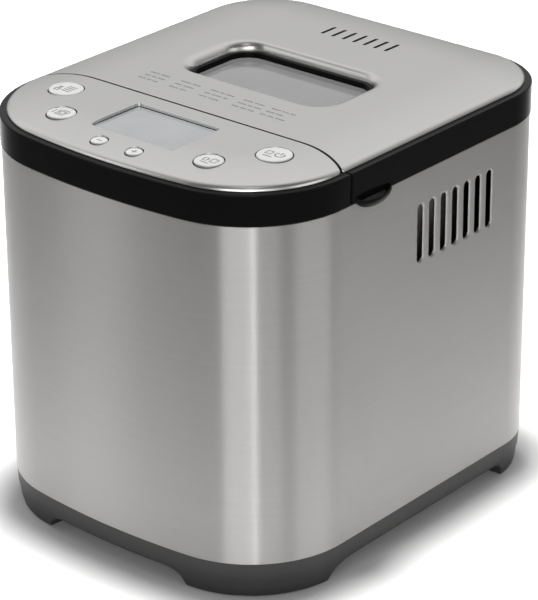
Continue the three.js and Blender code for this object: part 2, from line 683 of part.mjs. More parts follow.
const panOutline = (halfX, halfY, radius) => roundedRectangle(CHAMBER.x, CHAMBER.y, halfX, halfY, radius);

function panShell() {
  const outer = loft([
    { z: PAN_BOTTOM, points: panOutline(76.5, 55.5, 20) },
    { z: PAN_BOTTOM + 3, points: panOutline(79, 58, 22) },
    { z: PAN_RIM - 3, points: panOutline(84, 63, 24) },
  ]);
  const rim = prism(panOutline(87, 66, 27), PAN_RIM - 3.2, PAN_RIM);
  const inside = loft([
    { z: PAN_BOTTOM + PAN_WALL, points: panOutline(75.5, 54.5, 19) },
    { z: PAN_BOTTOM + PAN_WALL + 3, points: panOutline(77.5, 56.5, 20.5) },
    { z: PAN_RIM + 1, points: panOutline(82.5, 61.5, 22.5) },
  ]);
  return cut(join(outer, rim), inside, post(7.9, 90, 110, CHAMBER.x, CHAMBER.y));
}

add('pan_shell', panShell(), nonStick);
const panBaseProfile = [
  [7.9, 93.6], [32, 93.6], [32, 82.5], [36, 82.5], [36, PAN_BOTTOM - GAP], [7.9, PAN_BOTTOM - GAP],
];
add('pan_base', turned(panBaseProfile, CHAMBER.x, CHAMBER.y), aluminium);
const panBearingProfile = [[4.5, 93.4], [7.5, 93.4], [7.5, 98.9], [11, 98.9], [11, 101], [4.5, 101]];
add('pan_bearing', turned(panBearingProfile, CHAMBER.x, CHAMBER.y, 24), brass);

for (const [side, sign] of Object.entries(SIDES)) {
  const span = (near, far) => [sign * near, sign * far].sort((a, b) => a - b);
  const [plate0, plate1] = span(87.4, 89.4);
  const [foot0, foot1] = span(84, 89.4);
  const tab = join(
    block(plate0, plate1, CHAMBER.y - 8, CHAMBER.y + 8, 184, HANDLE_PIVOT_Z),
    rodX(8, plate0, plate1, CHAMBER.y, HANDLE_PIVOT_Z - 3, 24),
    block(foot0, foot1, CHAMBER.y - 8, CHAMBER.y + 8, 184, 192),
  );
  const bore = rodX(HANDLE_WIRE + 0.35, plate0 - 2, plate1 + 2, CHAMBER.y, HANDLE_PIVOT_Z, 16);
  add(`pan_lug_${side}`, cut(tab, bore), zincSteel);
}

function panHandle() {
  const tip = 86;
  const arm = 96;
  const bar = CHAMBER.y - HANDLE_ARM;
  const path = [
    [tip, CHAMBER.y, HANDLE_PIVOT_Z], [arm, CHAMBER.y, HANDLE_PIVOT_Z], [arm, bar, HANDLE_PIVOT_Z],
    [-arm, bar, HANDLE_PIVOT_Z], [-arm, CHAMBER.y, HANDLE_PIVOT_Z], [-tip, CHAMBER.y, HANDLE_PIVOT_Z],
  ];
  return bentTube(path, HANDLE_WIRE, [4, 10, 10, 4], 60);
}

add('pan_handle', panHandle(), wireSteel);

const shaftTop = 124;
add('pan_shaft', post(4, 87, shaftTop, CHAMBER.x, CHAMBER.y, 20), wireSteel);
const wingPlate = block(-12.5, 12.5, CHAMBER.y - 5.4, CHAMBER.y + 5.4, 87.2, 91.6);
const wing = cut(wingPlate, post(4.4, 80, 100, 0, CHAMBER.y, 20));
add('pan_coupler', wing, zincSteel);

function kneadingPaddle() {
  const hub = turned([
    [4.5, 101.6], [9.5, 101.6], [8, 122], [6, 127], [0, 128], [0, shaftTop + 0.6], [4.5, shaftTop + 0.6],
  ], CHAMBER.x, CHAMBER.y, 20);
  const fin = [[5, 101.6], [47, 101.6], [49, 106], [44, 117], [30, 123], [5, 124]];
  const blade = prismY(vectors(fin), CHAMBER.y - 2.2, CHAMBER.y + 2.2);
  return join(hub, cut(blade, post(5, 90, 130, CHAMBER.x, CHAMBER.y, 20)));
}

add('kneading_paddle', kneadingPaddle(), nonStick);

// ---- Lid -----------------------------------------------------------------------------------------

// A hollow half bowl on the band's side, which a finger lifts from below.
function gripBowl(sign) {
  const face = BODY_WIDTH / 2 - 0.4;
  const bowl = (shrink) => {
    const ball = new THREE.SphereGeometry(1, 20, 12);
    ball.scale(GRIP.depth + 0.4 - shrink, GRIP.halfLength - shrink, GRIP.drop - shrink);
    return solid(ball.translate(sign * face, GRIP.y, GRIP.z));
  };
  const [x0, x1] = [sign * face, sign * (face + 20)].sort((a, b) => a - b);
  const half = block(x0, x1, GRIP.y - 30, GRIP.y + 30, GRIP.z - 20, GRIP.z);
  return common(cut(bowl(0), bowl(1.8)), half);
}

function lidFrame() {
  const outer = common(bodyLoft(bandLevels(BAND_BOTTOM)), seamSide(1, GAP, 260, 300, BAND_SEAM_Y));
  const room = common(bodyPrism(3, 250, 284), seamSide(1, 3.4, 240, 300, BAND_SEAM_Y));
  const mouth = common(bodyPrism(10, 280, 300), seamSide(1, 3.4, 260, 300));
  let frame = cut(outer, room, mouth);
  for (const sign of Object.values(SIDES)) {
    const x = sign * HINGE.x;
    const half = HINGE.lidHalf;
    const lug = join(
      rodX(HINGE.barrel, x - half, x + half, HINGE.y, HINGE.z),
      block(x - half, x + half, 154.4, BODY_LENGTH / 2, HINGE.z, BAND_BOTTOM + 3),
    );
    frame = cut(join(frame, lug, gripBowl(sign)), rodX(HINGE.bore, x - 20, x + 20, HINGE.y, HINGE.z));
  }
  return frame;
}

function lidCover() {
  const well = (grow, z) => {
    const [x, y] = [WINDOW.halfX + grow, WINDOW.halfY + grow / 2];
    return { z, points: roundedRectangle(WINDOW.x, WINDOW.y, x, y, WINDOW.radius + grow / 2) };
  };
  const collar = loft([well(3, 289), well(9, 293.5)]);
  const opening = loft([well(0, 288), well(0, 289.6), well(6, 294.6), well(7, 297)]);
  let cover = cut(join(coverShell(1), collar), opening);
  for (let i = -3; i <= 3; i += 1) {
    const slot = roundedRectangle(i * 9.23, 106, 1.3, 8, 1.25, 3);
    cover = cut(cover, prism(slot, 280, 300));
  }
  return cover;
}

function windowBezel() {
  const ring = (grow) => {
    const [x, y] = [WINDOW.halfX + grow, WINDOW.halfY + grow];
    return roundedRectangle(WINDOW.x, WINDOW.y, x, y, WINDOW.radius + grow);
  };
  const tube = cut(prism(ring(0), 263.4, 288.6), prism(ring(-5), 260, 290));
  return cut(tube, prism(ring(-2.4), 281.6, 290));
}

function lidLiner() {
  const plate = common(bodyPrism(6, 266.4, 267.4), seamSide(1, 6, 250, 300, BAND_SEAM_Y));
  const [plugX, plugY] = [CHAMBER.halfX - 4, CHAMBER.halfY - 4];
  const plug = prism(roundedRectangle(CHAMBER.x, CHAMBER.y, plugX, plugY, 21), 259, 267.4);
  const hollow = prism(roundedRectangle(CHAMBER.x, CHAMBER.y, plugX - 1, plugY - 1, 20), 260, 270);
  const opening = prism(roundedRectangle(WINDOW.x, WINDOW.y, WINDOW.halfX - 6, WINDOW.halfY - 6, 13), 250, 270);
  return cut(join(plate, plug), hollow, opening);
}

const glassOutline = (shrink) => roundedRectangle(
  WINDOW.x, WINDOW.y, WINDOW.halfX - shrink, WINDOW.halfY - shrink, WINDOW.radius - shrink);

add('lid_frame', lidFrame(), glossBlack);
add('lid_cover', lidCover(), silverPaint);
add('window_bezel', windowBezel(), glossBlack);
add('window_glass_outer', prism(glassOutline(2.8), 282, 285), windowGlass);
add('window_glass_inner', prism(glassOutline(1), 260.4, 263), windowGlass);
add('lid_liner', lidLiner(), aluminium);

export default group;
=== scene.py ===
"""A household bread machine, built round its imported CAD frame.

Lengths in the code are millimetres in the frame's own axes: +Z up, the control panel towards -Y.
Meshes are made in metres. Places and sizes come from the frame's boxes and a few driving dimensions.
"""

import math

import bmesh
import bpy
import numpy as np
from mathutils import Matrix, Vector, geometry


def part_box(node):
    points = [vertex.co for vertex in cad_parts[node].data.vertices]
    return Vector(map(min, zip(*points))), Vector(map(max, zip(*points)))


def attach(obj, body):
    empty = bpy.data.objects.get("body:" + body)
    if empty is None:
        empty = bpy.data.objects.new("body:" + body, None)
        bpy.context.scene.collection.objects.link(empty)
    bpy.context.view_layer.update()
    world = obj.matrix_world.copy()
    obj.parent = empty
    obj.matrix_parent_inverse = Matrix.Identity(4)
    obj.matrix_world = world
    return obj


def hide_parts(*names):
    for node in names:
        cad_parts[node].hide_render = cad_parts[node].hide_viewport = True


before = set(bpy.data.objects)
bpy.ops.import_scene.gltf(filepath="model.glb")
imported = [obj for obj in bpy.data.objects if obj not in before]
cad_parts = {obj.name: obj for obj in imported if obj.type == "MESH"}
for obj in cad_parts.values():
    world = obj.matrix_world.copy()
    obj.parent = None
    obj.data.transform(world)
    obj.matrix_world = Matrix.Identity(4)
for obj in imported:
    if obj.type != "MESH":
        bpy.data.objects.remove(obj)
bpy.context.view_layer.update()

MM = 0.001


def span(node):
    """The x, y and z ranges of a CAD node."""
    low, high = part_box(node)
    return [(a / MM, b / MM) for a, b in zip(low, high)]


def middle(node):
    return [(a + b) / 2 for a, b in span(node)]


def half(node, axis):
    low, high = span(node)[axis]
    return (high - low) / 2


# ---- Driving dimensions ------------------------------------------------------------------------

HALF_WIDTH = span("control_housing")[0][1]
FRONT = span("control_housing")[1][0]
SHELL_INSET = HALF_WIDTH - span("body_shell")[0][1]
BACK = span("body_shell")[1][1] + SHELL_INSET
MIDDLE_Y = (FRONT + BACK) / 2
BOW_RADIUS = 541
FRONT_CORNER = 77
REAR_CORNER = 55

BAND_BOTTOM, BAND_TOP = span("control_housing")[2]
SHELL_BOTTOM, SHELL_TOP = span("body_shell")[2]
SHEET = 0.8
TOP_Z = span("lid_cover")[2][1]
COVER_BOTTOM = span("lid_cover")[2][0]
COVER_WALL = 2
LEDGE = 5  # black ledge left round the silver covers
GAP = 0.4

CROWN_START, CROWN_END, CROWN_RISE = 8, 48, 4.6
ROLL_WIDTH, ROLL_DROP = 3.5, 2.7

SEAM_Y = MIDDLE_Y - 64.8
SEAM_STRAIGHT = 95
SEAM_RADIUS = 70
BAND_SEAM_Y = MIDDLE_Y - 70

VENT = {"count": 7, "pitch": 12.35, "first": MIDDLE_Y + 2.6, "width": 5.8, "low": 201.6, "high": 242}
GLAND_HOLE = 7
HINGE_NOTCH = 258.2  # bottom of the shell's openings for the hinges
BUTTONS = ("menu_button", "colour_button", "minus_button", "plus_button", "size_button", "start_button")


# ---- Meshes ------------------------------------------------------------------------------------

def clean_mesh(name, build):
    """A mesh from a build in millimetres. Doubled points are merged and normals turned out."""
    mesh = bpy.data.meshes.new(name)
    mesh.from_pydata([tuple(c * MM for c in p) for p in build.points], [], build.faces)
    work = bmesh.new()
    work.from_mesh(mesh)
    bmesh.ops.remove_doubles(work, verts=work.verts, dist=0.002 * MM)
    bmesh.ops.dissolve_degenerate(work, edges=work.edges, dist=0.001 * MM)
    bmesh.ops.delete(work, geom=[v for v in work.verts if not v.link_faces], context="VERTS")
    bmesh.ops.recalc_face_normals(work, faces=work.faces)
    work.to_mesh(mesh)
    work.free()
    return mesh


def place(name, data):
    """A new object in the scene."""
    piece = bpy.data.objects.new(name, data)
    bpy.context.scene.collection.objects.link(piece)
    return piece


def smooth(piece, angle):
    """Shades a piece smooth between sharp edges, with flat faces kept flat next to small round ones."""
    piece.data.shade_smooth()
    piece.data.set_sharp_from_angle(angle=math.radians(angle))
    piece.modifiers.new("smooth", "WEIGHTED_NORMAL").keep_sharp = True


def level(z):
    """The height function of a flat sheet."""
    return lambda x, y: z


def inside_loop(points, loop):
    """Which points lie inside a closed loop."""
    x, y = np.asarray(points, float).T
    kept = np.zeros(len(x), bool)
    for (x0, y0), (x1, y1) in zip(loop, loop[1:] + loop[:1]):
        if y0 != y1:
            kept ^= ((y0 > y) != (y1 > y)) & (x < (x1 - x0) * (y - y0) / (y1 - y0) + x0)
    return kept


class Build:
    """Gathers points and faces of one piece from several surfaces."""

    def __init__(self):
        self.points = []
        self.faces = []

    def add(self, points, faces):
        first = len(self.points)
        self.points.extend(tuple(p) for p in points)
        self.faces.extend(tuple(first + i for i in f) for f in faces)

    def loft(self, rings, start=False, end=False, wrap=False):
        """Skins rings of equal length. wrap joins the last ring to the first."""
        count = len(rings[0])
        points = [p for ring in rings for p in ring]
        steps = len(rings) if wrap else len(rings) - 1
        faces = []
        for k in range(steps):
            a, b = k * count, ((k + 1) % len(rings)) * count
            for i in range(count):
                j = (i + 1) % count
                faces.append((a + i, a + j, b + j, b + i))
        if start:
            faces.append(tuple(range(count)))
        if end:
            faces.append(tuple((len(rings) - 1) * count + i for i in range(count)))
        self.add(points, faces)

    def sheet(self, loops, inner, height):
        """A triangulated sheet: the first loop bounds it, the others are holes."""
        spots = [Vector(p) for loop in loops for p in loop] + [Vector(p) for p in inner]
        edges = []
        first = 0
        for loop in loops:
            n = len(loop)
            edges.extend((first + i, first + (i + 1) % n) for i in range(n))
            first += n
        flat, _, faces, _, _, _ = geometry.delaunay_2d_cdt(spots, edges, [], 1, 1e-5)
        xy = np.array([(p.x, p.y) for p in flat]).reshape(-1, 2)
        z = height(xy[:, 0], xy[:, 1]) * np.ones(len(xy))
        centres = xy[np.array(faces)].mean(1)
        kept = inside_loop(centres, loops[0])
        for loop in loops[1:]:
            kept &= ~inside_loop(centres, loop)
        self.add(np.column_stack([xy, z]), [f for f, k in zip(faces, kept) if k])

    def join(self, other):
        self.add(other.points, other.faces)

    def moved(self, matrix):
        """Every point so far, turned and moved by a matrix in millimetres."""
        self.points = [tuple(matrix @ Vector(p)) for p in self.points]
        return self

    def make(self, name, finish, body, replaces=(), slot=None, angle=35):
        """The shown piece of this build, on its body and in place of its CAD nodes."""
        piece = place(name, clean_mesh(name, self))
        piece.data.materials.append(finish)
        smooth(piece, angle)
        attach(piece, body)
        if replaces:
            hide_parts(*replaces)
        return piece


def arc(x, y, radius, start, end, steps):
    """Points along an arc, both ends included."""
    out = []
    for i in range(steps + 1):
        a = start + (end - start) * i / steps
        out.append((x + radius * math.cos(a), y + radius * math.sin(a)))
    return out


def circle(x, y, radius, steps=48):
    return arc(x, y, radius, 0, 2 * math.pi, steps)[:-1]


def rounded(x, y, half_x, half_y, radius, steps=10, along=1):
    """A rectangle with round corners. Each straight side is in a number of parts."""
    radius = max(radius, 0.05)
    dx, dy = half_x - radius, half_y - radius
    q = math.pi / 2
    arcs = []
    for k, (u, v) in enumerate(((-1, -1), (1, -1), (1, 1), (-1, 1))):
        arcs.append(arc(x + u * dx, y + v * dy, radius, (k + 2) * q, (k + 3) * q, steps))
    out = []
    for one, two in zip(arcs, arcs[1:] + arcs[:1]):
        (x0, y0), (x1, y1) = one[-1], two[0]
        out += one + [(x0 + (x1 - x0) * i / along, y0 + (y1 - y0) * i / along) for i in range(1, along)]
    return out


def at(loop, z):
    return [(x, y, z) for x, y in loop]


def fillet(radius, steps=5):
    """(shrink, drop) pairs of a quarter round, from the top face to the side."""
    pairs = []
    for i in range(steps + 1):
        a = math.pi / 2 * i / steps
        pairs.append((radius * (1 - math.sin(a)), radius * (1 - math.cos(a))))
    return pairs


def turned(profile, centre, steps=64, axis="Z"):
    """A turned piece. The profile is (radius, height) pairs, closed on itself or on the axis."""
    build = Build()
    build.loft([[(r * c, r * s, z) for c, s in circle(0, 0, 1, steps)] for r, z in profile], wrap=True)
    q = math.pi / 2
    turns = {"Z": Matrix(), "X": Matrix.Rotation(q, 4, "Y"), "Y": Matrix.Rotation(-q, 4, "X")}
    return build.moved(Matrix.Translation(centre) @ turns[axis])


def round_profile(low, high, radius, edge):
    """Profile of a plain pin with rounded rims."""
    upper = [(radius - s, high - d) for s, d in fillet(edge, 4)]
    lower = [(radius - s, low + d) for s, d in reversed(fillet(edge, 4))]
    return [(0, high), *upper, *lower, (0, low)]


def tube(path, radius, steps):
    """A round bar along a path, with round ends."""
    points = [Vector(p) for p in path]
    tangents = []
    for i, p in enumerate(points):
        before, after = points[max(i - 1, 0)], points[min(i + 1, len(points) - 1)]
        tangents.append((after - before).normalized())
    side = tangents[0].orthogonal().normalized()
    rings = []
    for i, (p, t) in enumerate(zip(points, tangents)):
        side = (side - t * side.dot(t)).normalized()
        other = t.cross(side)
        ends = [(0.0, 1.0)]
        if i == 0:
            ends = [(-1.0, 0.05), (-0.7, 0.71), (0.0, 1.0)]
        if i == len(points) - 1:
            ends = [(0.0, 1.0), (0.7, 0.71), (1.0, 0.05)]
        for along, wide in ends:
            ring = []
            for c, s in circle(0, 0, 1, steps):
                ring.append(p + t * along * radius + (side * c + other * s) * radius * wide)
            rings.append([tuple(q) for q in ring])
    build = Build()
    build.loft(rings, start=True, end=True)
    return build


def bent(corners, bends):
    """A path of straight runs with a round bend at each inner corner."""
    steps = 10
    points = [Vector(corners[0])]
    for i in range(1, len(corners) - 1):
        p = Vector(corners[i])
        a = (Vector(corners[i - 1]) - p).normalized() * bends[i - 1]
        b = (Vector(corners[i + 1]) - p).normalized() * bends[i - 1]
        for k in range(steps + 1):
            u = math.pi / 2 * k / steps
            points.append(p + a * (1 - math.sin(u)) + b * (1 - math.cos(u)))
    points.append(Vector(corners[-1]))
    return points


def panel(boundaries, low, high, edge):
    """A flat plate. Each boundary is a function that gives its loop, moved into the plate by a shrink."""
    build = Build()
    rounds = fillet(edge)
    outlines = [[b(s) for s, _ in rounds] for b in boundaries]
    for rings in outlines:
        upper = [at(ring, high - d) for ring, (_, d) in zip(rings, rounds)]
        lower = [at(ring, low + d) for ring, (_, d) in zip(rings, rounds)]
        build.loft(upper + lower[::-1])
    for z in (high, low):
        build.sheet([rings[0] for rings in outlines], [], level(z))
    return build


def swept(ends, loop, corner):
    """A side view swept along an axis. ends are (place, scale) pairs, and corner places a point."""
    u = sum(p[0] for p in loop) / len(loop)
    v = sum(p[1] for p in loop) / len(loop)
    build = Build()
    rings = [[corner(w, u + (a - u) * scale, v + (b - v) * scale) for a, b in loop] for w, scale in ends]
    build.loft(rings, start=True, end=True)
    return build


def boolean(piece, build, operation):
    """Cuts a build out of a piece, or joins it to the piece."""
    tool = place("tool", clean_mesh("tool", build))
    piece.modifiers.clear()
    modifier = piece.modifiers.new("work", "BOOLEAN")
    modifier.operation = operation
    modifier.object = tool
    modifier.solver = "EXACT"
    bpy.context.view_layer.update()
    done = bpy.data.meshes.new_from_object(piece.evaluated_get(bpy.context.evaluated_depsgraph_get()))
    piece.modifiers.clear()
    piece.data = done
    bpy.data.objects.remove(tool)
    smooth(piece, 35)


# ---- The machine's plan ------------------------------------------------------------------------

BOW_Y = FRONT + BOW_RADIUS
FRONT_X = HALF_WIDTH - FRONT_CORNER
FRONT_Y = BOW_Y - math.sqrt((BOW_RADIUS - FRONT_CORNER) ** 2 - FRONT_X**2)
TANGENT = math.atan2(FRONT_Y - BOW_Y, FRONT_X)
REAR_X = HALF_WIDTH - REAR_CORNER
REAR_Y = BACK - REAR_CORNER
BOW_STEPS, FRONT_STEPS, SIDE_STEPS, REAR_STEPS, BACK_STEPS = 40, 32, 60, 28, 20


def plan(inset):
    """The outline at an inset from the band's face: bowed front, big front corners, flat sides and back."""
    q = math.pi / 2
    front, rear = FRONT_CORNER - inset, REAR_CORNER - inset
    x, y = HALF_WIDTH - inset, BACK - inset
    side = [FRONT_Y + (REAR_Y - FRONT_Y) * i / SIDE_STEPS for i in range(1, SIDE_STEPS)]
    back = [REAR_X - 2 * REAR_X * i / BACK_STEPS for i in range(1, BACK_STEPS)]
    return (
        arc(0, BOW_Y, BOW_RADIUS - inset, -math.pi - TANGENT, TANGENT, BOW_STEPS)
        + arc(FRONT_X, FRONT_Y, front, TANGENT, 0, FRONT_STEPS)[1:]
        + [(x, v) for v in side]
        + arc(REAR_X, REAR_Y, rear, 0, q, REAR_STEPS)
        + [(u, y) for u in back]
        + arc(-REAR_X, REAR_Y, rear, q, 2 * q, REAR_STEPS)
        + [(-x, v) for v in reversed(side)]
        + arc(-FRONT_X, FRONT_Y, front, 2 * q, math.pi - TANGENT, FRONT_STEPS)[:-1]
    )


def inset_of(x, y):
    """How far points lie inside the outline."""
    x, y = np.abs(np.asarray(x, float)), np.asarray(y, float)
    value = np.minimum(HALF_WIDTH - x, BACK - y)
    heading = np.arctan2(y - FRONT_Y, x - FRONT_X)
    bow = BOW_RADIUS - np.hypot(x, y - BOW_Y)
    in_bow = np.arctan2(y - BOW_Y, x) <= TANGENT
    value = np.where(in_bow, np.minimum(value, bow), value)
    in_corner = (heading > TANGENT) & (heading < 0) & ~in_bow
    value = np.where(in_corner, FRONT_CORNER - np.hypot(x - FRONT_X, y - FRONT_Y), value)
    in_rear = (x > REAR_X) & (y > REAR_Y)
    return np.where(in_rear, REAR_CORNER - np.hypot(x - REAR_X, y - REAR_Y), value)


def crown(x, y):
    """Height of the silver covers: a rolled edge, then a shallow crown."""
    inset = inset_of(x, y)
    share = np.clip((inset - CROWN_START) / (CROWN_END - CROWN_START), 0, 1)
    slope = 2 * CROWN_RISE / (CROWN_END - CROWN_START)
    z = TOP_Z - CROWN_RISE * (1 - share) ** 2 - slope * np.clip(CROWN_START - inset, 0, None)
    roll = np.clip((inset - LEDGE) / ROLL_WIDTH, 0, 1)
    return z - ROLL_DROP * (1 - np.sqrt(1 - (1 - roll) ** 2))


def seam(x, limit=-math.inf):
    """Where the seam between the covers runs, as y at an x: straight at the middle, bent at the sides."""
    beyond = max(0.0, min(abs(x), 138.0) - SEAM_STRAIGHT)
    return max(SEAM_Y - SEAM_RADIUS + math.sqrt(SEAM_RADIUS**2 - beyond**2), limit)


SEAM_STEPS = 72
CORNER_ROOM = 5.6  # length of the side given to a cover's corner at the seam


def split_plan(side, inset, gap, limit=-math.inf, round_off=1.6):
    """The outline in front of the seam (side -1) or behind it (side 1), with small rounded corners."""
    reference = plan(LEDGE)
    corner = seam(HALF_WIDTH - LEDGE, limit)
    kept = [side * (p[1] - corner) > CORNER_ROOM for p in reference]
    first = next(i for i in range(len(kept)) if kept[i] and not kept[i - 1])
    loop = plan(inset)
    walk = [loop[(first + i) % len(loop)] for i in range(sum(kept))]
    x = HALF_WIDTH - inset
    end = 1 if side < 0 else -1
    corner_y = lambda u: seam(u, limit) + side * gap
    reach = x - round_off
    line = []
    for i in range(SEAM_STEPS + 1):
        u = end * reach * (1 - 2 * i / SEAM_STEPS)
        line.append((u, corner_y(u)))

    def turn(a, b, c):
        return [
            tuple((1 - t) ** 2 * p + 2 * t * (1 - t) * q + t * t * r for p, q, r in zip(a, b, c))
            for t in (0.0, 0.2, 0.4, 0.6, 0.8)
        ]

    side_y = corner_y(x) + side * round_off
    there = turn((end * x, side_y), (end * x, corner_y(x)), line[0])
    back = turn(line[-1], (-end * x, corner_y(x)), (-end * x, side_y))
    return walk + there + line[:-1] + back + [(-end * x, side_y)]


def away_from(points, loops, clear):
    """Those points that stay clear of every loop's corners."""
    points = np.asarray(points, float)
    kept = np.ones(len(points), bool)
    for x, y in (p for loop in loops for p in loop):
        kept &= np.hypot(points[:, 0] - x, points[:, 1] - y) > clear
    return points[kept]


def thinned(points, spacing):
    """Those points that keep a spacing from every point kept before them."""
    kept = np.array(points[:1], float)
    for p in np.array(points[1:], float):
        if np.hypot(*(kept - p).T).min() > spacing:
            kept = np.vstack([kept, p])
    return kept


def crown_points(openings):
    """Spots spread evenly over the covers, in rings next to the rim and the openings."""
    spots = []
    for loop, profile in openings:
        for grow in (1.5, 3.2, 5.2):
            spots.extend(loop(profile[0][0] + grow))
    for inset in (10, 12, 14.5, 17.5, 21, 25, 29, 33.5, 38.5, 44, 50):
        spots.extend(plan(inset))
    for u in np.arange(-84, 85, 4.0):
        spots.extend((u, v) for v in np.arange(FRONT + 56, BACK - 54, 4.0))
    return thinned(spots, 1.6)


# ---- Finishes ----------------------------------------------------------------------------------

class Finish:
    """A procedural material. Noise is laid in the machine's own axes, in features per metre."""

    def __init__(self, name, color, roughness, metallic=0.0, **sockets):
        self.material = bpy.data.materials.new(name)
        self.material.use_nodes = True
        self.tree = self.material.node_tree
        self.shader = self.tree.nodes["Principled BSDF"]
        self.color, self.roughness = color, roughness
        self.set("Base Color", (*color, 1.0))
        self.set("Roughness", roughness)
        self.set("Metallic", metallic)
        for socket, value in sockets.items():
            self.set(socket.replace("_", " "), value)
        self.place = self.node("TexCoord").outputs["Object"]
        self.heights = []

    def set(self, socket, value):
        self.shader.inputs[socket].default_value = value

    def node(self, kind, **values):
        made = self.tree.nodes.new("ShaderNode" + kind)
        for key, value in values.items():
            setattr(made, key, value)
        return made

    def link(self, source, target):
        self.tree.links.new(source, target)

    def noise(self, scale, stretch=(1, 1, 1), detail=3.0, roughness=0.55, shift=0.0):
        mapping = self.node("Mapping")
        mapping.inputs["Scale"].default_value = stretch
        mapping.inputs["Location"].default_value = (shift, shift * 0.7, shift * 1.3)
        self.link(self.place, mapping.inputs["Vector"])
        texture = self.node("TexNoise")
        texture.inputs["Scale"].default_value = scale
        texture.inputs["Detail"].default_value = detail
        texture.inputs["Roughness"].default_value = roughness
        self.link(mapping.outputs["Vector"], texture.inputs["Vector"])
        return texture.outputs["Fac"]

    def spread(self, value, low, high, start=0.3, end=0.7):
        """Maps a value's middle range to low..high."""
        node = self.node("MapRange")
        for socket, number in zip(("From Min", "From Max", "To Min", "To Max"), (start, end, low, high)):
            node.inputs[socket].default_value = number
        self.link(value, node.inputs["Value"])
        return node.outputs["Result"]

    def sum(self, a, b, operation="ADD"):
        node = self.node("Math", operation=operation)
        self.link(a, node.inputs[0])
        self.link(b, node.inputs[1])
        return node.outputs["Value"]

    def tint(self, value, low, high):
        """The base colour runs from low to high with a value of 0 to 1."""
        mix = self.node("Mix", data_type="RGBA")
        self.link(value, mix.inputs["Factor"])
        mix.inputs["A"].default_value = (*low, 1.0)
        mix.inputs["B"].default_value = (*high, 1.0)
        self.link(mix.outputs["Result"], self.shader.inputs["Base Color"])
        return mix

    def over(self, plain, factor, color):
        """Lays a colour over the plain one, where factor is 1."""
        mix = self.node("Mix", data_type="RGBA")
        self.link(factor, mix.inputs["Factor"])
        self.link(plain.outputs["Result"], mix.inputs["A"])
        mix.inputs["B"].default_value = (*color, 1.0)
        self.link(mix.outputs["Result"], self.shader.inputs["Base Color"])

    def shade(self, value, amount):
        """Darkens and lightens the plain colour by an amount round itself."""
        low = tuple(c * (1 - amount) for c in self.color)
        high = tuple(min(1.0, c * (1 + amount)) for c in self.color)
        return self.tint(value, low, high)

    def vary_roughness(self, value, amount, start=0.3, end=0.7):
        wide = self.spread(value, self.roughness - amount, self.roughness + amount, start, end)
        self.link(wide, self.shader.inputs["Roughness"])

    def bump(self, value, strength, depth):
        """Bump of a depth in millimetres."""
        node = self.node("Bump")
        node.inputs["Strength"].default_value = strength
        node.inputs["Distance"].default_value = depth * MM
        self.link(value, node.inputs["Height"])
        if self.heights:
            self.link(self.heights[-1], node.inputs["Normal"])
        self.heights.append(node.outputs["Normal"])
        self.link(node.outputs["Normal"], self.shader.inputs["Normal"])

    def edges(self):
        """1 on worn outer edges, 0 elsewhere."""
        return self.spread(self.node("NewGeometry").outputs["Pointiness"], 0.0, 1.0, 0.52, 0.62)


def brushed(name, color, roughness, along, anisotropy, amount, depth):
    """Metal sheet with fine level brush lines. along is how fast they change on their way."""
    f = Finish(name, color, roughness, 1.0, Anisotropic=anisotropy, Anisotropic_Rotation=0.25)
    fine = f.noise(1.0, (2600 * along, 2600 * along, 2600), 2.0)
    broad = f.noise(1.0, (420 * along, 420 * along, 420), 3.0, shift=3.0)
    cloud = f.noise(9.0, detail=2.0, shift=7.0)
    lines = f.sum(f.spread(fine, 0.0, 0.5), f.spread(broad, 0.0, 0.5))
    f.shade(lines, amount)
    f.vary_roughness(f.sum(lines, f.spread(cloud, -0.2, 0.2)), 0.015, 0.2, 0.8)
    f.bump(fine, 0.35, depth)
    tangent = f.node("Tangent", direction_type="RADIAL", axis="Z")
    f.link(tangent.outputs["Tangent"], f.shader.inputs["Tangent"])
    return f.material


def satin_silver():
    """Silver lacquer over plastic, with a fine metallic grain."""
    f = Finish("satin_silver", (0.66, 0.655, 0.645), 0.3, 1.0, Specular_Tint=(0.55, 0.55, 0.55, 1))
    grain = f.noise(2600, detail=2.0)
    cloud = f.noise(14, detail=3.0, shift=2.0)
    f.shade(f.sum(f.spread(grain, 0.1, 0.6), f.spread(cloud, 0.0, 0.3)), 0.035)
    f.vary_roughness(cloud, 0.03)
    f.bump(grain, 0.08, 0.003)
    return f.material


def moulded(name, color, roughness, grain, depth, wear=0.35, **sockets):
    """Moulded plastic or rubber with a fine texture and slightly polished edges."""
    f = Finish(name, color, roughness, 0.0, **sockets)
    texture = f.noise(grain, detail=4.0, roughness=0.6)
    cloud = f.noise(22, detail=3.0, shift=5.0)
    edge = f.edges()
    worn = tuple(min(1.0, c * (1 + wear) + 0.01 * wear) for c in color)
    plain = f.shade(f.spread(cloud, 0.0, 1.0), 0.08)
    f.over(plain, f.sum(edge, f.spread(cloud, 0.3, 0.8), "MULTIPLY"), worn)
    f.vary_roughness(f.sum(f.spread(cloud, 0.2, 0.6), f.spread(texture, 0.0, 0.3)), 0.05, 0.2, 0.8)
    f.bump(texture, 0.25, depth)
    return f.material


def gloss_black():
    """Polished black plastic with faint haze and wipe marks."""
    f = Finish("gloss_black", (0.004, 0.0038, 0.0038), 0.12, 0.0, IOR=1.45, Specular_IOR_Level=0.06)
    haze = f.noise(26, (1, 1, 3), 4.0)
    dust = f.noise(1400, detail=2.0, shift=4.0)
    f.tint(f.spread(dust, 0.0, 1.0, 0.62, 0.85), (0.004, 0.0038, 0.0038), (0.011, 0.0105, 0.01))
    f.vary_roughness(haze, 0.035)
    f.bump(haze, 0.05, 0.01)
    return f.material


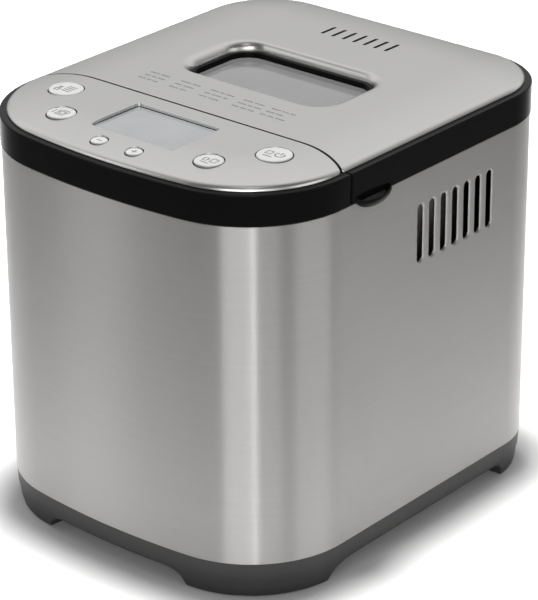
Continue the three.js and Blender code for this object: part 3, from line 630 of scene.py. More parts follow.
def glass(name, color, roughness, through):
    """A pane. through is how much light passes it."""
    f = Finish(name, color, roughness, 0.0, IOR=1.5, Transmission_Weight=through, Coat_Weight=0.3)
    smear = f.noise(30, (1, 1.6, 1), 3.0)
    f.shade(f.spread(smear, 0.0, 1.0), 0.04)
    f.vary_roughness(smear, roughness * 0.4)
    return f.material


def display_face():
    """A liquid-crystal display that is off: a grey face with a faint cloudy tone."""
    f = Finish("display_face", (0.2, 0.208, 0.218), 0.16, 0.0, IOR=1.5, Coat_Weight=0.3, Coat_Roughness=0.08)
    cloud = f.noise(26, detail=2.0)
    f.tint(f.spread(cloud, 0.0, 1.0), (0.108, 0.11, 0.112), (0.122, 0.127, 0.133))
    f.vary_roughness(cloud, 0.03)
    return f.material


def sheet_metal(name, color, roughness, scratch=0.08, metallic=1.0, spots=0.0):
    """Bare or coated sheet with small scratches and, on a coated pan, pale specks."""
    f = Finish(name, color, roughness, metallic)
    cloud = f.noise(38, detail=4.0)
    line = f.noise(1.0, (140, 1900, 300), 2.0, shift=1.0)
    value = f.sum(f.spread(cloud, 0.0, 0.6), f.spread(line, 0.0, 0.4))
    plain = f.shade(value, scratch)
    if spots:
        speck = f.noise(1700, detail=1.0, shift=9.0)
        f.over(plain, f.spread(speck, 0.0, 1.0, 0.66, 0.72), (spots, spots, spots))
    f.vary_roughness(value, 0.07)
    f.bump(line, 0.12, 0.006)
    return f.material


def board():
    """Green circuit board with paler tracks under the mask."""
    f = Finish("board", (0.02, 0.09, 0.035), 0.4, 0.0, Coat_Weight=0.3)
    cells = f.node("TexBrick")
    cells.inputs["Scale"].default_value = 160
    cells.inputs["Mortar Size"].default_value = 0.07
    f.link(f.place, cells.inputs["Vector"])
    cells.inputs["Color1"].default_value = (0.016, 0.075, 0.03, 1)
    cells.inputs["Color2"].default_value = (0.02, 0.095, 0.036, 1)
    cells.inputs["Mortar"].default_value = (0.04, 0.15, 0.06, 1)
    f.link(cells.outputs["Color"], f.shader.inputs["Base Color"])
    f.vary_roughness(f.noise(60), 0.08)
    return f.material


STEEL = brushed("brushed_steel", (0.392, 0.384, 0.377), 0.35, 0.012, 1.0, amount=0.035, depth=0.002)
LINER = brushed("aluminium_sheet", (0.62, 0.62, 0.615), 0.42, 0.03, 0.5, amount=0.07, depth=0.004)
SILVER = satin_silver()
BLACK = gloss_black()
DARK = moulded("dark_plastic", (0.02, 0.0195, 0.019), 0.5, grain=1100, depth=0.03)
RUBBER = moulded("rubber", (0.014, 0.014, 0.014), 0.78, grain=700, depth=0.05)
KEY = moulded("key_plastic", (0.235, 0.235, 0.23), 0.34, grain=1600, depth=0.01, wear=0.1, Coat_Weight=0.2)
PRINT = moulded("printed_ink", (0.09, 0.09, 0.09), 0.6, grain=2200, depth=0.004, wear=0.0)
DISPLAY = display_face()
PANE = glass("window_pane", (0.105, 0.106, 0.105), 0.07, 0.35)
PANE_INNER = glass("inner_pane", (0.7, 0.71, 0.7), 0.05, 0.92)
ZINC = sheet_metal("zinc_steel", (0.46, 0.47, 0.48), 0.42)
COATED = sheet_metal("non_stick", (0.028, 0.028, 0.029), 0.42, 0.2, 0.25, spots=0.09)
MOTOR = sheet_metal("motor_steel", (0.12, 0.125, 0.13), 0.45, 0.15, 0.6)
HEATER = sheet_metal("heater_sheath", (0.07, 0.06, 0.052), 0.5, 0.3, 0.9)
WIRE = sheet_metal("bright_steel", (0.66, 0.66, 0.65), 0.22, 0.05)
BRASS = sheet_metal("brass", (0.55, 0.40, 0.17), 0.32, 0.1)
BOARD = board()


# ---- Steel shell -------------------------------------------------------------------------------

def axes(origin, along, out):
    """A matrix that stands a drawing up: its x along the wall, its y up, its z out of the wall."""
    return Matrix.Translation(origin) @ Matrix((along, (0, 0, 1), out)).transposed().to_4x4()


def wall_sheet(build, matrix, outline, openings):
    """One flat side of the shell: both faces, the low and high edges and the openings through them.
    Each opening is a loop function of its growth and a profile of (growth, depth)."""
    part = Build()
    part.sheet([outline] + [loop(profile[0][0]) for loop, profile in openings], [], level(0))
    part.sheet([outline] + [loop(profile[-1][0]) for loop, profile in openings], [], level(-SHEET))
    for i in (0, 2):
        a, b = outline[i], outline[i + 1]
        part.add([(*a, 0), (*b, 0), (*b, -SHEET), (*a, -SHEET)], [(0, 1, 2, 3)])
    for loop, profile in openings:
        part.loft([at(loop(grow), -depth) for grow, depth in profile])
    build.join(part.moved(matrix))


def body_shell():
    build = Build()
    low, high = SHELL_BOTTOM, SHELL_TOP
    face_x, face_y = HALF_WIDTH - SHELL_INSET, BACK - SHELL_INSET

    def curved(points_out, points_in):
        for k in range(len(points_out) - 1):
            a, b, c, d = points_out[k], points_out[k + 1], points_in[k + 1], points_in[k]
            corners = [(*p, z) for z in (low, high) for p in (a, b, c, d)]
            build.add(corners, [(0, 1, 5, 4), (3, 2, 6, 7), (0, 1, 2, 3), (4, 5, 6, 7)])

    def stretches(inset):
        loop = plan(inset)
        corner = REAR_STEPS + 1
        front = BOW_STEPS + 1 + FRONT_STEPS
        rear = front + SIDE_STEPS - 1
        back = rear + corner + BACK_STEPS - 1
        left = back + corner + SIDE_STEPS - 1
        return [loop[left:] + loop[:front], loop[rear : rear + corner], loop[back : back + corner]]

    for out, into in zip(stretches(SHELL_INSET), stretches(SHELL_INSET + SHEET)):
        curved(out, into)

    # Each vent slot has its edge pressed inward, so a bright roll shows round it.
    lip = [*fillet(1.6, 7), (0, 1.8), (0.5, 1.8), (0.6, 1.5), (1.0, 1.1), (1.9, SHEET)]
    z, tall, wide = (VENT["low"] + VENT["high"]) / 2, (VENT["high"] - VENT["low"]) / 2, VENT["width"] / 2
    slots = []
    for k in range(VENT["count"]):
        y = VENT["first"] + k * VENT["pitch"]
        slots.append((lambda grow, y=y: rounded(y, z, wide + grow, tall + grow, wide + grow, 7), lip))
    side = [(FRONT_Y, low), (REAR_Y, low), (REAR_Y, high), (FRONT_Y, high)]
    for sign in (1, -1):
        wall_sheet(build, axes((sign * face_x, 0, 0), (0, 1, 0), (sign, 0, 0)), side, slots)

    back = [(-REAR_X, low), (REAR_X, low), (REAR_X, high), (-REAR_X, high)]
    gland_x, gland_z = middle("cord_gland")[0], middle("cord_gland")[2]
    opening = [(lambda grow: circle(gland_x, gland_z, GLAND_HOLE + grow, 40), [(0, 0), (0, SHEET)])]
    wall_sheet(build, axes((0, face_y, 0), (1, 0, 0), (0, 1, 0)), back, opening)
    wrap = build.make("steel_wrap", STEEL, "housing", ["body_shell"], "brushed_steel", 40)
    for x in (hinge_x, -hinge_x):
        notch = Build()
        loop = rounded(x, BACK, hinge_half + GAP, 12, 0.05, 1)
        notch.loft([at(loop, HINGE_NOTCH), at(loop, high + 5)], True, True)
        boolean(wrap, notch, "DIFFERENCE")


hinge_x = middle("hinge_pin_right")[0]
hinge_y, hinge_z = middle("hinge_pin_right")[1:]
hinge_half = half("hinge_pin_right", 0)
body_shell()


# ---- Base --------------------------------------------------------------------------------------

BASE_LOW = span("base_tray")[2][0]
BASE_CEILING = 12
BASE_FLOOR = 15
LIP_TOP = 31
FOOT_DEPTH = 22
POST_TOP = 57.7
BASE_SLOTS = {"pitch": 9, "middle": MIDDLE_Y + 65, "half_width": 1.5, "half_length": 25}


def arch(v, foot, ceiling):
    """0 on the foot, 1 under the arch, with a quarter-ellipse shoulder between."""
    t = min(max((v - foot) / (ceiling - foot), 0.0), 1.0)
    return math.sqrt(1 - (1 - t) ** 2)


def foot_bottom(x, y):
    """Height of the underside's edge: four feet with an arch between each two."""
    across = arch(abs(x), 61.5, 43)
    front = arch(y, MIDDLE_Y - 86, MIDDLE_Y - 60)
    rear = arch(y, MIDDLE_Y + 105, MIDDLE_Y + 93)
    rise = max(across, min(front, rear))
    return BASE_LOW + (BASE_CEILING - BASE_LOW) * rise


def skirt(z):
    """Inset of the base's outer face at a height."""
    return float(np.interp(z, (0.8, 3, 7, 12, 15, 26.4), (5, 3.8, 3.1, 2.75, 1.8, 1.0)))


def refined(loop, parts):
    """A loop with every side split into a number of parts."""
    out = []
    for (x0, y0), (x1, y1) in zip(loop, loop[1:] + loop[:1]):
        out.extend((x0 + (x1 - x0) * k / parts, y0 + (y1 - y0) * k / parts) for k in range(parts))
    return out


def base_tray():
    reference = refined(plan(3), 3)
    bottoms = [foot_bottom(x, y) for x, y in reference]
    cache = {}

    def spot(inset, index):
        key = round(inset, 3)
        if key not in cache:
            cache[key] = refined(plan(key), 3)
        return cache[key][index]

    def section(bottom):
        """(inset, z) pairs from the inner ceiling, round the foot, up the outside and over the lip."""
        soft = min(1.3, 0.45 * (BASE_CEILING - bottom) + 0.35)
        edge = skirt(bottom + soft)
        deep = FOOT_DEPTH
        pairs = [(deep, BASE_CEILING), (deep, bottom + 0.25 * soft), (deep - soft, bottom)]
        pairs += [(edge + s, bottom + d) for s, d in fillet(soft, 4)]
        start = bottom + soft
        for k in range(1, 5):
            z = start + (BASE_FLOOR - start) * k / 4
            pairs.append((skirt(z), z))
        top = SHELL_BOTTOM - 0.3
        pairs += [(skirt(20), 20), (skirt(top - 0.6), top - 0.6), (skirt(top) + 0.15, top - 0.15)]
        pairs += [(1.7, top), (2.0, top), (2.0, LIP_TOP - 0.4), (2.4, LIP_TOP), (4.2, LIP_TOP), (4.6, LIP_TOP - 0.4)]
        pairs.append((4.6, BASE_FLOOR))
        return pairs

    sections = [section(b) for b in bottoms]
    rings = []
    for k in range(len(sections[0])):
        rings.append([(*spot(s[k][0], i), s[k][1]) for i, s in enumerate(sections)])
    build = Build()
    build.loft(rings)
    pitch, y, wide, long = BASE_SLOTS.values()
    slots = [rounded(pitch * k, y, wide, long, wide - 0.05, 4) for k in range(-3, 4)]
    for ring, z in ((rings[0], BASE_CEILING), (rings[-1], BASE_FLOOR)):
        build.sheet([[p[:2] for p in ring]] + slots, [], level(z))
    for slot in slots:
        build.loft([at(slot, BASE_CEILING), at(slot, BASE_FLOOR)])
    tray = build.make("base", DARK, "housing", ["base_tray"], "dark_plastic", 38)
    for pad in PADS:
        x, y, _ = middle(pad)
        boolean(tray, turned([(0, -2), (6.9, -2), (6.9, 3.1), (0, 3.1)], (x, y, 0), 40), "DIFFERENCE")
    for screw in SCREWS:
        x, y, _ = middle(screw)
        foot = BASE_FLOOR - 1
        post = turned([(2.4, foot), (6, foot), (6, POST_TOP), (2.4, POST_TOP)], (x, y, 0), 32)
        boolean(tray, post, "UNION")


CORNERS = ("front_right", "front_left", "rear_right", "rear_left")
PADS = [f"foot_pad_{c}" for c in CORNERS]
SCREWS = [f"base_screw_{c}" for c in CORNERS]
base_tray()

for pad in PADS:
    x, y, _ = middle(pad)
    low, high = span(pad)[2]
    rings = [(0, low + 0.5), (4.2, low + 0.5), (4.7, low + 0.1)]
    rings += [(half(pad, 0) - s, low + d) for s, d in fillet(0.9, 5)]
    rings += [(half(pad, 0), high), (0, high)]
    turned(rings, (x, y, 0), 56).make(f"{pad}_soft", RUBBER, "housing", [pad], "rubber")

for screw in SCREWS:
    x, y, _ = middle(screw)
    low, high = span(screw)[2]
    head = [(0, low), (2.6, low + 0.05), (3.7, low + 0.5), (4.2, low + 1.3), (4.2, low + 2.3)]
    thread = [(2, low + 2.3), (2, high - 0.6), (1.5, high), (0, high)]
    piece = turned(head + thread, (x, y, 0), 40).make(f"{screw}_cross", ZINC, "housing", [screw], "zinc_steel")
    for wide, long in ((0.45, 2.3), (2.3, 0.45)):
        cross = Build()
        cross.loft([at(rounded(x, y, wide, long, 0.2, 2), z) for z in (low - 1, low + 1.4)], True, True)
        boolean(piece, cross, "DIFFERENCE")


# ---- Control housing and fascia ----------------------------------------------------------------

def band_rings(side, end):
    """Half of the black band: its outside, its top ledge, and its inside down to an end height."""
    low, high = BAND_BOTTOM, BAND_TOP
    ring = lambda inset, gap, z: at(split_plan(side, inset, gap, BAND_SEAM_Y), z)
    rings = [ring(s, GAP + s, low + d) for s, d in fillet(0.8)]
    rings += [ring(s, GAP + s, high - d) for s, d in reversed(fillet(1.1, 6))]
    inside = ((10, high), (10, high - 2.6), (3, high - 2.6), (3, end))
    return rings + [ring(inset, 3.4, z) for inset, z in inside]


def control_housing():
    build = Build()
    build.loft(band_rings(-1, BAND_BOTTOM + 2.7), start=True, end=True)
    build.make("band_front", BLACK, "housing", ["control_housing"], "black_gloss", 40)


control_housing()

BUTTON_HOLE = GAP + 0.15
COVER_GAP = 1.0  # half of the shadow line between the covers
DISPLAY_BOX = span("lcd_lens")
DISPLAY_MIDDLE = (DISPLAY_BOX[1][0] + DISPLAY_BOX[1][1]) / 2
DISPLAY_HALF_X = DISPLAY_BOX[0][1] + GAP
DISPLAY_HALF_Y = (DISPLAY_BOX[1][1] - DISPLAY_BOX[1][0]) / 2 + GAP


def cover(side, openings):
    """A silver cover: crowned top, rolled edge, rounded seam edge, wall down to the band, and its inside.
    openings are (loop function of growth, profile of (growth, drop)), ending on the inside."""
    build = Build()

    def lifted(loop):
        return [(x, y, max(z, COVER_BOTTOM)) for (x, y), z in zip(loop, crown(*np.array(loop).T))]

    seam_edge = fillet(0.5, 4)
    soft = seam_edge[0][0]
    roll = [ROLL_WIDTH * (1 - math.cos(math.pi / 18 * k)) for k in range(10)] + [4.2, 5.0]
    loops = [split_plan(side, LEDGE + s, COVER_GAP + soft + 0.3 * s) for s in roll]
    first, last = loops[0], loops[-1]
    build.loft([lifted(loop) for loop in loops])
    heights = [z for _, _, z in lifted(first)]
    rings = []
    for shrink, drop in seam_edge:
        loop = split_plan(side, LEDGE, COVER_GAP + shrink)
        rings.append([(x, y, max(z - drop, COVER_BOTTOM)) for (x, y), z in zip(loop, heights)])
    inside = split_plan(side, LEDGE + 1.6, COVER_GAP + 1.8)
    build.loft(rings + [at(split_plan(side, LEDGE, COVER_GAP), COVER_BOTTOM), at(inside, COVER_BOTTOM)])
    under = lambda x, y: np.maximum(crown(x, y) - COVER_WALL, COVER_BOTTOM + 0.1)
    raised = under(*np.array(inside).T)
    build.loft([at(inside, COVER_BOTTOM), [(x, y, z) for (x, y), z in zip(inside, raised)]])
    top_loops, under_loops = [last], [inside]
    for loop, profile in openings:
        start, end = loop(profile[0][0]), loop(profile[-1][0])
        edge = crown(*np.array(start).T)
        rings = [[(x, y, z - drop) for (x, y), z in zip(loop(grow), edge)] for grow, drop in profile[:-1]]
        rings.append([(x, y, z) for (x, y), z in zip(end, under(*np.array(end).T))])
        build.loft(rings)
        top_loops.append(start)
        under_loops.append(end)
    spots = crown_points(openings)
    for loops, height in ((top_loops, crown), (under_loops, under)):
        inner = away_from(spots, loops, 1.2)
        clear = inset_of(*inner.T) > LEDGE + roll[-1] + 1
        build.sheet(loops, inner[clear & inside_loop(inner, loops[0])], height)
    return build


def control_fascia():
    openings = []
    for name in BUTTONS:
        x, y, _ = middle(name)
        radius = span_of_cap(name)
        loop = lambda grow, x=x, y=y, r=radius: circle(x, y, r + BUTTON_HOLE + grow, 56)
        openings.append((loop, [*fillet(0.45, 4), (0, COVER_WALL)]))
    x, y = DISPLAY_HALF_X, DISPLAY_HALF_Y
    display = lambda grow: rounded(0, DISPLAY_MIDDLE, x + grow, y + grow, 3 + grow, 8, 16)
    openings.append((display, [*fillet(0.5, 4), (0, COVER_WALL)]))
    build = cover(-1, openings)
    build.make("control_fascia_cover", SILVER, "housing", ["control_fascia"], "silver_cover", 32)


def span_of_cap(name):
    """Radius of a button's cap, inside its flange."""
    return half(name, 0) - 1.2


control_fascia()


def display():
    low, high = DISPLAY_BOX[2]
    x, y = DISPLAY_HALF_X - GAP, DISPLAY_HALF_Y - GAP
    outline = lambda s: rounded(0, DISPLAY_MIDDLE, x - s, y - s, 2.8 - s, 8)
    lens = panel([outline], low, high, 0.35)
    lens.make("display_lens", DISPLAY, "housing", ["lcd_lens"], "display_glass")


display()


# ---- Buttons -----------------------------------------------------------------------------------

def mark_strip(build, path, width, z, closed=False):
    """A printed line of a width along a flat path, a hair above its face."""
    depth = 0.08
    points = [Vector(p) for p in path]
    count = len(points)
    left, right = [], []
    for i, p in enumerate(points):
        before = points[i - 1] if i or closed else p
        after = points[(i + 1) % count] if i < count - 1 or closed else p
        t = (after - before).normalized()
        normal = Vector((-t.y, t.x)) * width / 2
        left.append(p + normal)
        right.append(p - normal)
    steps = count if closed else count - 1
    for i in range(steps):
        j = (i + 1) % count
        quad = [left[i], left[j], right[j], right[i]]
        lifted = [(q.x, q.y, z + depth) for q in quad] + [(q.x, q.y, z - depth) for q in quad]
        build.add(lifted, [(0, 1, 2, 3), (4, 5, 6, 7), (0, 1, 5, 4), (2, 3, 7, 6)])
        if not closed and i == 0:
            build.add(lifted, [(0, 3, 7, 4)])
        if not closed and i == steps - 1:
            build.add(lifted, [(1, 2, 6, 5)])


def loaf(x, y, size):
    """Outline of a plain slice of bread."""
    body = [(-0.36, -0.42), (0.36, -0.42), (0.36, 0.08)]
    body += arc(0.22, 0.22, 0.2, -math.pi / 4, math.pi / 2, 5)
    body += arc(-0.22, 0.22, 0.2, math.pi / 2, 1.25 * math.pi, 5) + [(-0.36, 0.08)]
    return [(x + u * size, y + v * size) for u, v in body]


def lines(*paths, width=0.085, closed=False):
    return [(path, closed, width) for path in paths]


# Generic symbols, on a cap with a radius of 1: (path, closed, width).
BAR = lines([(-0.36, 0), (0.36, 0)], width=0.17)
SQUARE = [(-0.58, -0.1), (-0.22, -0.1), (-0.22, 0.26), (-0.58, 0.26)]
RING = arc(0.3, 0.1, 0.27, math.radians(130), math.radians(410), 20)
ICONS = {
    "minus_button": BAR,
    "plus_button": BAR + lines([(0, -0.36), (0, -0.09)], [(0, 0.09), (0, 0.36)], width=0.17),
    "menu_button": lines(*([(-0.1, k), (0.5, k)] for k in (-0.28, -0.06, 0.16, 0.38)))
    + lines([(-0.55, 0.05), (-0.32, 0.05)], width=0.2)
    + lines(loaf(-0.42, -0.3, 0.34), closed=True),
    "colour_button": lines(loaf(0.05, 0.05, 0.95), loaf(0.05, 0.05, 0.5), closed=True)
    + lines([(-0.62, -0.3), (-0.62, 0.25)]),
    "size_button": lines(loaf(0.34, 0.12, 0.62), loaf(-0.32, 0.06, 0.46), closed=True)
    + lines([(-0.4, -0.42), (0.3, -0.42)]),
    "start_button": lines(RING, [(0.3, 0.14), (0.3, 0.42)])
    + lines(SQUARE, closed=True)
    + lines([(-0.5, -0.38), (0.1, -0.38)]),
}

for name in BUTTONS:
    x, y, _ = middle(name)
    low, high = span(name)[2]
    radius = span_of_cap(name)
    rim = [(radius - s, high - d) for s, d in fillet(1.0, 6)]
    rim = [(0, high - 0.25), (radius - 2.2, high - 0.25), (radius - 1.5, high - 0.05), *rim]
    flange = [(radius, high - 5), (radius + 1.2, high - 5), (radius + 1.2, high - 6)]
    stem = [(2.6, high - 6), (2.6, low), (0, low)]
    turned(rim + flange + stem, (x, y, 0), 72).make(f"{name}_cap", KEY, name, [name], "key_plastic")
    marks = Build()
    for path, closed, width in ICONS[name]:
        drawn = [(x + u * radius, y + v * radius) for u, v in path]
        mark_strip(marks, drawn, width * radius, high - 0.25, closed)
    marks.make(f"{name}_mark", PRINT, name, (), "key_plastic")


# ---- Lid ---------------------------------------------------------------------------------------

WINDOW_Y = middle("window_bezel")[1]
WINDOW_HALF_X, WINDOW_HALF_Y = half("window_bezel", 0), half("window_bezel", 1)
WINDOW_RADIUS = 19
GRIP_Y = MIDDLE_Y - 48.2
GRIP_TOP = 269
GRIP_HALF_LENGTH = 17.5
GRIP_WALL, GRIP_DIP = 1.5, 2.6
GRIP_DEPTH = span("lid_frame")[0][1] - HALF_WIDTH
LID_LUG_HALF = 6
CHAMBER_Y = middle("chamber_liner")[1]
WELL_WIDE, WELL_DEEP = 7.2, 6.4
LID_SLOTS = {"pitch": 9.23, "middle": MIDDLE_Y + 106, "half_width": 1.3, "half_length": 8}
PLUG = (99, 76, 21)  # half width, half depth and corner radius of the liner's raised middle


def window_loop(grow):
    return rounded(0, WINDOW_Y, WINDOW_HALF_X + grow, WINDOW_HALF_Y + grow, WINDOW_RADIUS + grow, 12)


def well_loop(grow):
    """The sloping surround of the window: broad at the sides, steeper in front and behind."""
    half_y, radius = WINDOW_HALF_Y + grow / 2, WINDOW_RADIUS + grow / 2
    return rounded(0, WINDOW_Y, WINDOW_HALF_X + grow, half_y, radius, 14, 24)


def grip_bowl(build, sign):
    """A hollow scoop on the band's side. Its rounded rim dips towards the finger."""
    wall = GRIP_WALL
    face, bottom = HALF_WIDTH - 0.5, span("lid_frame")[2][0]
    deep, long = GRIP_DEPTH + 0.5, GRIP_HALF_LENGTH
    rings = []
    for i in range(41):
        theta = math.pi * (i / 40 - 0.5)
        rim = GRIP_TOP - wall / 2 - GRIP_DIP * math.cos(theta) ** 0.8
        ring = []

        def spot(shrink, phi, lift=0.0):
            wide = math.cos(phi)
            x = face + (deep - shrink) * wide * math.cos(theta)
            y = GRIP_Y + (long - shrink) * wide * math.sin(theta)
            ring.append((sign * x, y, rim - (rim - bottom - shrink * 0.9) * math.sin(phi) + lift))

        for k in range(15):
            spot(0, math.pi / 2 * k / 14)
        for k in range(15):
            spot(wall, math.pi / 2 * (1 - k / 14))
        for k in range(1, 6):
            a = math.pi * k / 6
            spot(wall / 2 * (1 + math.cos(a)), 0, wall / 2 * math.sin(a))
        rings.append(ring)
    build.loft(rings, start=True, end=True)


def knuckle(build, x0, x1, loop):
    """A hinge lug: a side view swept along X with softened ends."""
    ends = ((x0, 0.9), (x0 + 0.12, 0.96), (x0 + 0.35, 1), (x1 - 0.35, 1), (x1 - 0.12, 0.96), (x1, 0.9))
    build.join(swept(ends, loop, lambda x, y, z: (x, y, z)))


def lid_frame():
    build = Build()
    build.loft(band_rings(1, BAND_BOTTOM), wrap=True)
    for sign in (1, -1):
        grip_bowl(build, sign)
        lug = arc(hinge_y, hinge_z, 3, math.radians(190), math.radians(360), 14)
        lug += [(hinge_y + 2.6, hinge_z + 2.2), (BACK - 0.1, BAND_BOTTOM + 0.6)]
        lug += [(BACK - 0.1, BAND_BOTTOM + 3), (hinge_y - 2.6, BAND_BOTTOM + 3)]
        knuckle(build, sign * hinge_x - LID_LUG_HALF, sign * hinge_x + LID_LUG_HALF, lug)
    build.make("band_lid", BLACK, "lid", ["lid_frame"], "black_gloss", 40)


def lid_cover():
    bevel = [(s * WELL_WIDE, d * WELL_DEEP) for s, d in fillet(1, 10)]
    bevel += [(0, 7.0), (3, 7.0), (4, 6.4), (9, 2.4), (9.2, 2.0)]
    openings = [(well_loop, bevel)]
    pitch, y, wide, long = LID_SLOTS.values()
    for k in range(-3, 4):
        slot = lambda grow, x=pitch * k: rounded(x, y, wide + grow, long + grow, wide - 0.05 + grow, 6, 6)
        openings.append((slot, [*fillet(0.4, 4), (0, COVER_WALL)]))
    cover(1, openings).make("lid_top", SILVER, "lid", ["lid_cover"], "silver_cover", 32)


def window_bezel():
    low, high = span("window_bezel")[2]
    build = Build()
    profile = [(-0.15, low), (-0.15, high - 0.5), (-0.3, high - 0.15), (-0.65, high), (-1.9, high)]
    profile += [(-2.25, high - 0.15), (-2.4, high - 0.5), (-2.4, high - 7), (-5, high - 7), (-5, low)]
    build.loft([at(window_loop(grow), z) for grow, z in profile], wrap=True)
    build.make("window_rim", BLACK, "lid", ["window_bezel"], "black_gloss", 40)


def pane(node, finish, slot):
    """A flat pane with ground edges, the size of its CAD node."""
    x, y = half(node, 0), half(node, 1)
    low, high = span(node)[2]
    radius = WINDOW_RADIUS - (WINDOW_HALF_X - x)
    outline = lambda s: rounded(0, WINDOW_Y, x - s, y - s, radius - s, 12)
    panel([outline], low, high, 0.4).make(f"{node}_pane", finish, "lid", [node], slot)


def lid_liner():
    low, plate_top = span("lid_liner")[2]
    plate_low = plate_top - 1
    outside = split_plan(1, 6, 6, BAND_SEAM_Y)
    plug_x, plug_y, plug_r = PLUG
    plug = lambda grow: rounded(0, CHAMBER_Y, plug_x + grow, plug_y + grow, plug_r + grow, 12)
    opening = rounded(0, WINDOW_Y, WINDOW_HALF_X - 6, WINDOW_HALF_Y - 6, 13, 10)
    build = Build()
    build.loft([at(outside, plate_low), at(outside, plate_top)])
    build.sheet([outside, plug(0.8)], [], level(plate_low))
    walls = [at(plug(0.8), plate_low), at(plug(0.25), plate_low - 0.2), at(plug(0), plate_low - 0.8)]
    walls += [at(plug(-s), low + d) for s, d in reversed(fillet(1.2, 5))]
    build.loft(walls)
    build.sheet([plug(-1.2), opening], [], level(low))
    build.loft([at(opening, low), at(opening, low + 1)])
    build.sheet([plug(-1.6), opening], [], level(low + 1))
    build.loft([at(plug(-1.6), low + 1), at(plug(-1), low + 2), at(plug(-1), plate_top)])
    build.sheet([outside, plug(-1)], [], level(plate_top))
    build.make("lid_lining", LINER, "lid", ["lid_liner"], "aluminium", 40)


LEGEND = {
    "columns": (-68, -41, -15, 13.6, 37.6),
    "width": 22,
    "first": MIDDLE_Y - 32,
    "pitch": 6,
    "line": 1.15,
    "space": 1.6,
}


def legend():
    """A printed list as plain dashes: five columns of three lines."""
    build = Build()
    random = np.random.default_rng(5)
    for column in LEGEND["columns"]:
        for row in range(3):
            y = LEGEND["first"] - LEGEND["pitch"] * row
            x = column
            for _ in range(3):
                length = float(random.uniform(3.5, 8.5))
                if x + length > column + LEGEND["width"]:
                    break
                mark_strip(build, [(x, y), (x + length, y)], LEGEND["line"], float(crown(x, y)))
                x += length + LEGEND["space"]
    build.make("program_list", PRINT, "lid", (), "silver_cover")


lid_frame()
lid_cover()
window_bezel()
pane("window_glass_outer", PANE, "window_glass")
pane("window_glass_inner", PANE_INNER, "window_glass")
lid_liner()
legend()


# ---- Deck, hinge and cord gland ----------------------------------------------------------------

MOUTH = (104, 81, 24)  # half width, half depth and corner radius of the deck's opening


def deck_frame():
    low, high = 250, SHELL_TOP
    mouth_x, mouth_y, mouth_r = MOUTH
    mouth = lambda grow: rounded(0, CHAMBER_Y, mouth_x + grow, mouth_y + grow, mouth_r + grow, 12)
    inset = SHELL_INSET + SHEET + GAP
    build = Build()
    profile = ((1.8, high - 2.9), (1.8, low + 0.3), (1.5, low), (0.3, low), (0, low + 0.3))
    walls = [at(plan(inset + s), z) for s, z in profile]
    walls += [at(plan(inset + s), high - d) for s, d in reversed(fillet(0.6, 4))]
    build.loft(walls)
    build.sheet([plan(inset + 0.6), mouth(0.6)], [], level(high))
    build.sheet([plan(inset + 1.8), mouth(0)], [], level(high - 2.9))
    build.loft([at(mouth(s), high - d) for s, d in fillet(0.6, 4)] + [at(mouth(0), high - 2.9)])
    deck = build.make("deck", DARK, "housing", ["deck_frame"], "dark_plastic", 40)
    notch = LID_LUG_HALF + GAP
    for sign in (1, -1):
        x = sign * hinge_x
        room = Build()
        left, right, front, back = x - notch, x + notch, MIDDLE_Y + 152.6, 180
        loop = [(left, front), (right, front), (right, back), (left, back)]
        room.loft([at(loop, 240), at(loop, 275)], True, True)
        boolean(deck, room, "DIFFERENCE")
        lugs = Build()
        side = arc(hinge_y, hinge_z, 3, math.radians(-90), math.radians(75), 14)
        side += [(hinge_y - 1, SHELL_TOP), (MIDDLE_Y + 151, SHELL_TOP - 0.2), (MIDDLE_Y + 151, hinge_z - 3)]
        for x0, x1 in ((x - hinge_half, x - notch), (x + notch, x + hinge_half)):
            knuckle(lugs, x0, x1, side)
        boolean(deck, lugs, "UNION")


deck_frame()
for side in ("left", "right"):
    node = f"hinge_pin_{side}"
    x = middle(node)[0]
    profile = round_profile(-hinge_half, hinge_half, half(node, 2), 0.35)
    pin = turned(profile, (x, hinge_y, hinge_z), 32, "X")
    pin.make(f"{node}_rod", WIRE, "housing", [node], "wire_steel")


def cord_gland():
    x, _, z = middle("cord_gland")
    inner, outer_end = span("cord_gland")[1]
    wall = BACK - SHELL_INSET
    depth = outer_end - wall
    start = inner - wall
    outside = [(3.6, depth - 0.4), (4.2, depth), (5.4, depth), (6.2, depth - 0.5), (6.6, 2.4)]
    outside += [(7.6, 1.9), (9.0, 1.5), (9.45, 1.0), (9.5, 0.1), (6.7, 0.05), (6.7, -1.0)]
    outside += [(8.2, -1.4), (7.6, start + 1), (6.8, start), (3.6, start)]
    turned(outside, (x, wall, z), 56, "Y").make("gland", RUBBER, "housing", ["cord_gland"], "rubber")


cord_gland()


# ---- Baking chamber ----------------------------------------------------------------------------

LINER_LOW, LINER_TOP = span("chamber_liner")[2]
FLANGE = 6
CHAMBER_X = half("chamber_liner", 0) - FLANGE
CHAMBER_HALF_Y = half("chamber_liner", 1) - FLANGE
CHAMBER_CORNER = 23
ELEMENT_RADIUS = 3.3
ELEMENT_REACH = 73  # half depth of the element's loop
LEAD_X = 15


